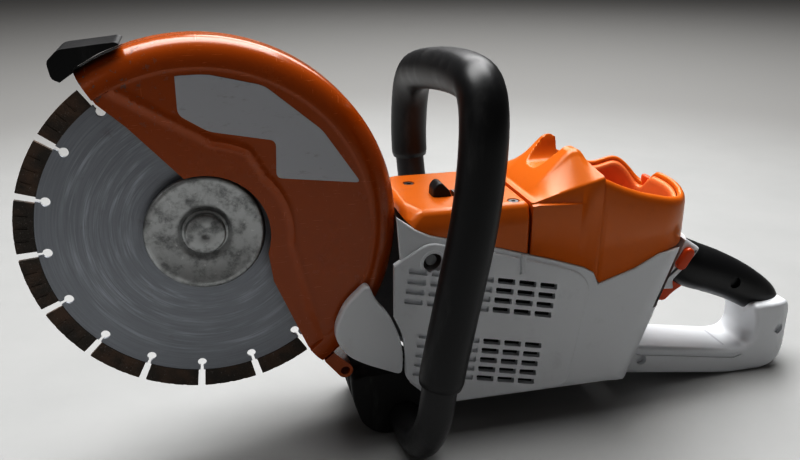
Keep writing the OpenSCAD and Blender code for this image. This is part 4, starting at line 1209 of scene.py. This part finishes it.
# %% Controls
TRIGGER = [(173.5, 88), (168.5, 77), (168, 71), (172, 66.5), (177.5, 65.5), (184, 72), (191, 76.5),
           (199, 80.5), (211, 83), (213, 89), (210, 93), (186, 92)]
trigger = slab(soften(TRIGGER, 3), -6.5, 6.5, 2.2, 2.2, 4)
flat_panels(make_piece("trigger_lever", trigger, "trigger_body", "signal_orange", ["trigger"]))
LOCKOUT = (181, 108)
PILL_TURN = -30
pill = []
for centre, start in ((5, 0), (-5, 180)):
    cx = LOCKOUT[0] - centre * math.sin(math.radians(PILL_TURN))
    cz = LOCKOUT[1] + centre * math.cos(math.radians(PILL_TURN))
    pill += arc(cx, cz, 4.4, start + PILL_TURN, start + PILL_TURN + 180, 10)
lockout = slab(pill, -23.5, 4, 1.8, 0, 4)
make_piece("lockout_pill", lockout, "lockout_body", "signal_orange", ["lockout_button"])
LATCH = [(164, 153), (164.5, 150.5), (169.5, 150.5), (170.5, 154), (170.8, 161.5), (168.5, 163.6),
         (165, 163.4), (164.4, 158)]
latch = slab(soften(LATCH, 1.5), 11, 29, 1.4, 1.4, 4)
make_piece("latch_lever", latch, "latch_body", "signal_orange", ["battery_latch"])

# %% [markdown]
# ## The front foot
# The foot is a rubber-like block of curved ribs on a smaller core. One rib is a rounded slab, and a loop
# repeats it across the saw. The core sits a few millimetres back, so there is a groove between two ribs.

# %% Foot
FOOT = [(-87, 50), (-85, 30), (-79, 11), (-70, 2.5), (-62, 0), (-31, 0), (-23, 7), (-21, 20), (-30, 31),
        (-44, 44.5), (-47, 50)]
RIB_PITCH = 16.5
FOOT_CORE = [(-81, 50), (-79, 31), (-73, 14), (-65, 6), (-34, 5), (-26, 9), (-25, 18), (-44, 42), (-48, 50)]
tunnel = rod(-48, 14, 2 * TUBE_R + 0.8, -60, 35.2, 48)
bend_room = slab([(-46.6, 45.6), (-22.4, 21.4), (20, 21), (20, 100), (-46.6, 100)], -60, 60)
core = slab(soften(FOOT_CORE, 5), -38, 38)
ribs = []
for k in range(5):
    middle = (k - 2) * RIB_PITCH
    ribs.append(slab(soften(FOOT, 6), middle - 5.4, middle + 5.4, 2.6, 2.6, 4))
foot = carve(unite(core, *ribs), tunnel, bend_room, pocket(0.5))
flat_panels(make_piece("front_foot_ribbed", foot, "root", "foot_rubber", ["front_foot"]))

# %% [markdown]
# ## Wrench and clip
# The service wrench lies in its tray. Its ring end is open as a hexagon, and a black spring clip holds its
# shank. The clip leans forward like a small lever.

# %% Wrench and clip
CLIP = [(-22, DECK_Z - 2), (-21.4, DECK_Z + 6), (-18.5, DECK_Z + 9.6), (-15.5, DECK_Z + 9.6),
        (-9.5, DECK_Z + 3.6), (-7.8, DECK_Z - 2)]
clip = slab(soften(CLIP, 2), -16.6, -3.4, 1.4, 1.4, 4)
make_piece("wrench_clip_lever", clip, "root", "black_plastic", ["wrench_clip"])
shank = slab([(-6, DECK_Z - 2), (-6, DECK_Z + 1.6), (24, DECK_Z + 1.6), (24, DECK_Z - 2)], -13, -7)


def upright(sides, radius, depth, z):
    """An upright cylinder or prism at the wrench's ring end."""
    bm = bmesh.new()
    bmesh.ops.create_cone(bm, cap_ends=True, segments=sides, radius1=radius, radius2=radius, depth=depth,
                          matrix=Matrix.Translation((24, -10, z)))
    return bm

ring_end, socket = upright(48, 6.7, 3.9, DECK_Z - 0.05), upright(6, 3.8, 12, DECK_Z)
wrench = carve(unite(shank, ring_end), socket)
wrench_piece = make_piece("service_wrench", wrench, "wrench_body", "dark_steel", ["wrench"])
soft_edges(wrench_piece, 0.5, 2)

# %% [markdown]
# ## Floor, light and camera
# The floor is painted pale near the saw and darker farther away, a painted pool of light round the saw. One
# wide light overhead draws the long highlights on the guard's rim and the sleeve, one behind draws the
# outlines, and a weak one in front opens the shadows.

# %% Studio
def area_light(name, place, aim, size, power, colour=(1, 1, 1)):
    data = bpy.data.lights.new(name, "AREA")
    data.shape = "RECTANGLE"
    data.size, data.size_y = size
    data.energy = power
    data.color = colour
    obj = bpy.data.objects.new(name, data)
    obj.location = place
    obj.rotation_mode = "QUATERNION"
    obj.rotation_quaternion = (Vector(aim) - Vector(place)).to_track_quat("-Z", "Y")
    bpy.context.scene.collection.objects.link(obj)

area_light("overhead", (-0.1, 0.6, 2.2), (0, 0, 0.1), (2.6, 1.4), 78)
area_light("front_fill", (-1.6, -1.4, 1.1), (0, 0, 0.15), (1.0, 0.8), 1.2)
area_light("back_rim", (0.9, 2.4, 1.9), (0, 0, 0.15), (2.2, 1.0), 26)

floor_mesh = bmesh.new()
bmesh.ops.create_grid(floor_mesh, x_segments=1, y_segments=1, size=6)
floor_data = bpy.data.meshes.new("floor")
floor_mesh.to_mesh(floor_data)
floor = bpy.data.objects.new("floor", floor_data)
bpy.context.scene.collection.objects.link(floor)
stone = Finish("floor_stone", (0.50, 0.50, 0.49), 0.6)
lit_pool_tone = stone.mix(stone.noise(9, 6, 0.6), (0.32, 0.324, 0.32), (0.38, 0.38, 0.376))
stone_x, stone_y, _ = stone.axes()
# Painted light: the floor's colour darkens with distance from the saw, a painted pool of light round it.
reach = (stone_x * stone_x + stone_y * stone_y).step(0.15, 1.6)
stone.colour(stone.mix(reach, lit_pool_tone, (0.24, 0.237, 0.231)))
stone.bump(stone.noise(120, 4), 0.1, 0.0005)
floor_data.materials.append(stone.material)
floor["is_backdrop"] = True

world = bpy.data.worlds.new("studio")
bpy.context.scene.world = world
world.use_nodes = True
sky = world.node_tree.nodes["Background"]
sky.inputs["Color"].default_value = (0.52, 0.50, 0.49, 1)
sky.inputs["Strength"].default_value = 0.16

CAMERA_PLACE = (-0.178, -0.543, 0.355)
CAMERA_YAW = 14.1
CAMERA_PITCH = 20.6
CAMERA_LENS = 37.3
camera_data = bpy.data.cameras.new("camera")
camera_data.lens = CAMERA_LENS
camera_data.clip_start = 0.01
camera = bpy.data.objects.new("camera", camera_data)
camera.location = CAMERA_PLACE
camera.rotation_euler = (math.radians(90 - CAMERA_PITCH), 0, math.radians(-CAMERA_YAW))
bpy.context.scene.collection.objects.link(camera)
bpy.context.scene.camera = camera
bpy.context.scene.view_settings.view_transform = "Standard"
bpy.context.scene.view_settings.look = "High Contrast"
print("camera at", CAMERA_PLACE, "lens", CAMERA_LENS)

# %% Measure the sizes and finish
low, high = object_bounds()
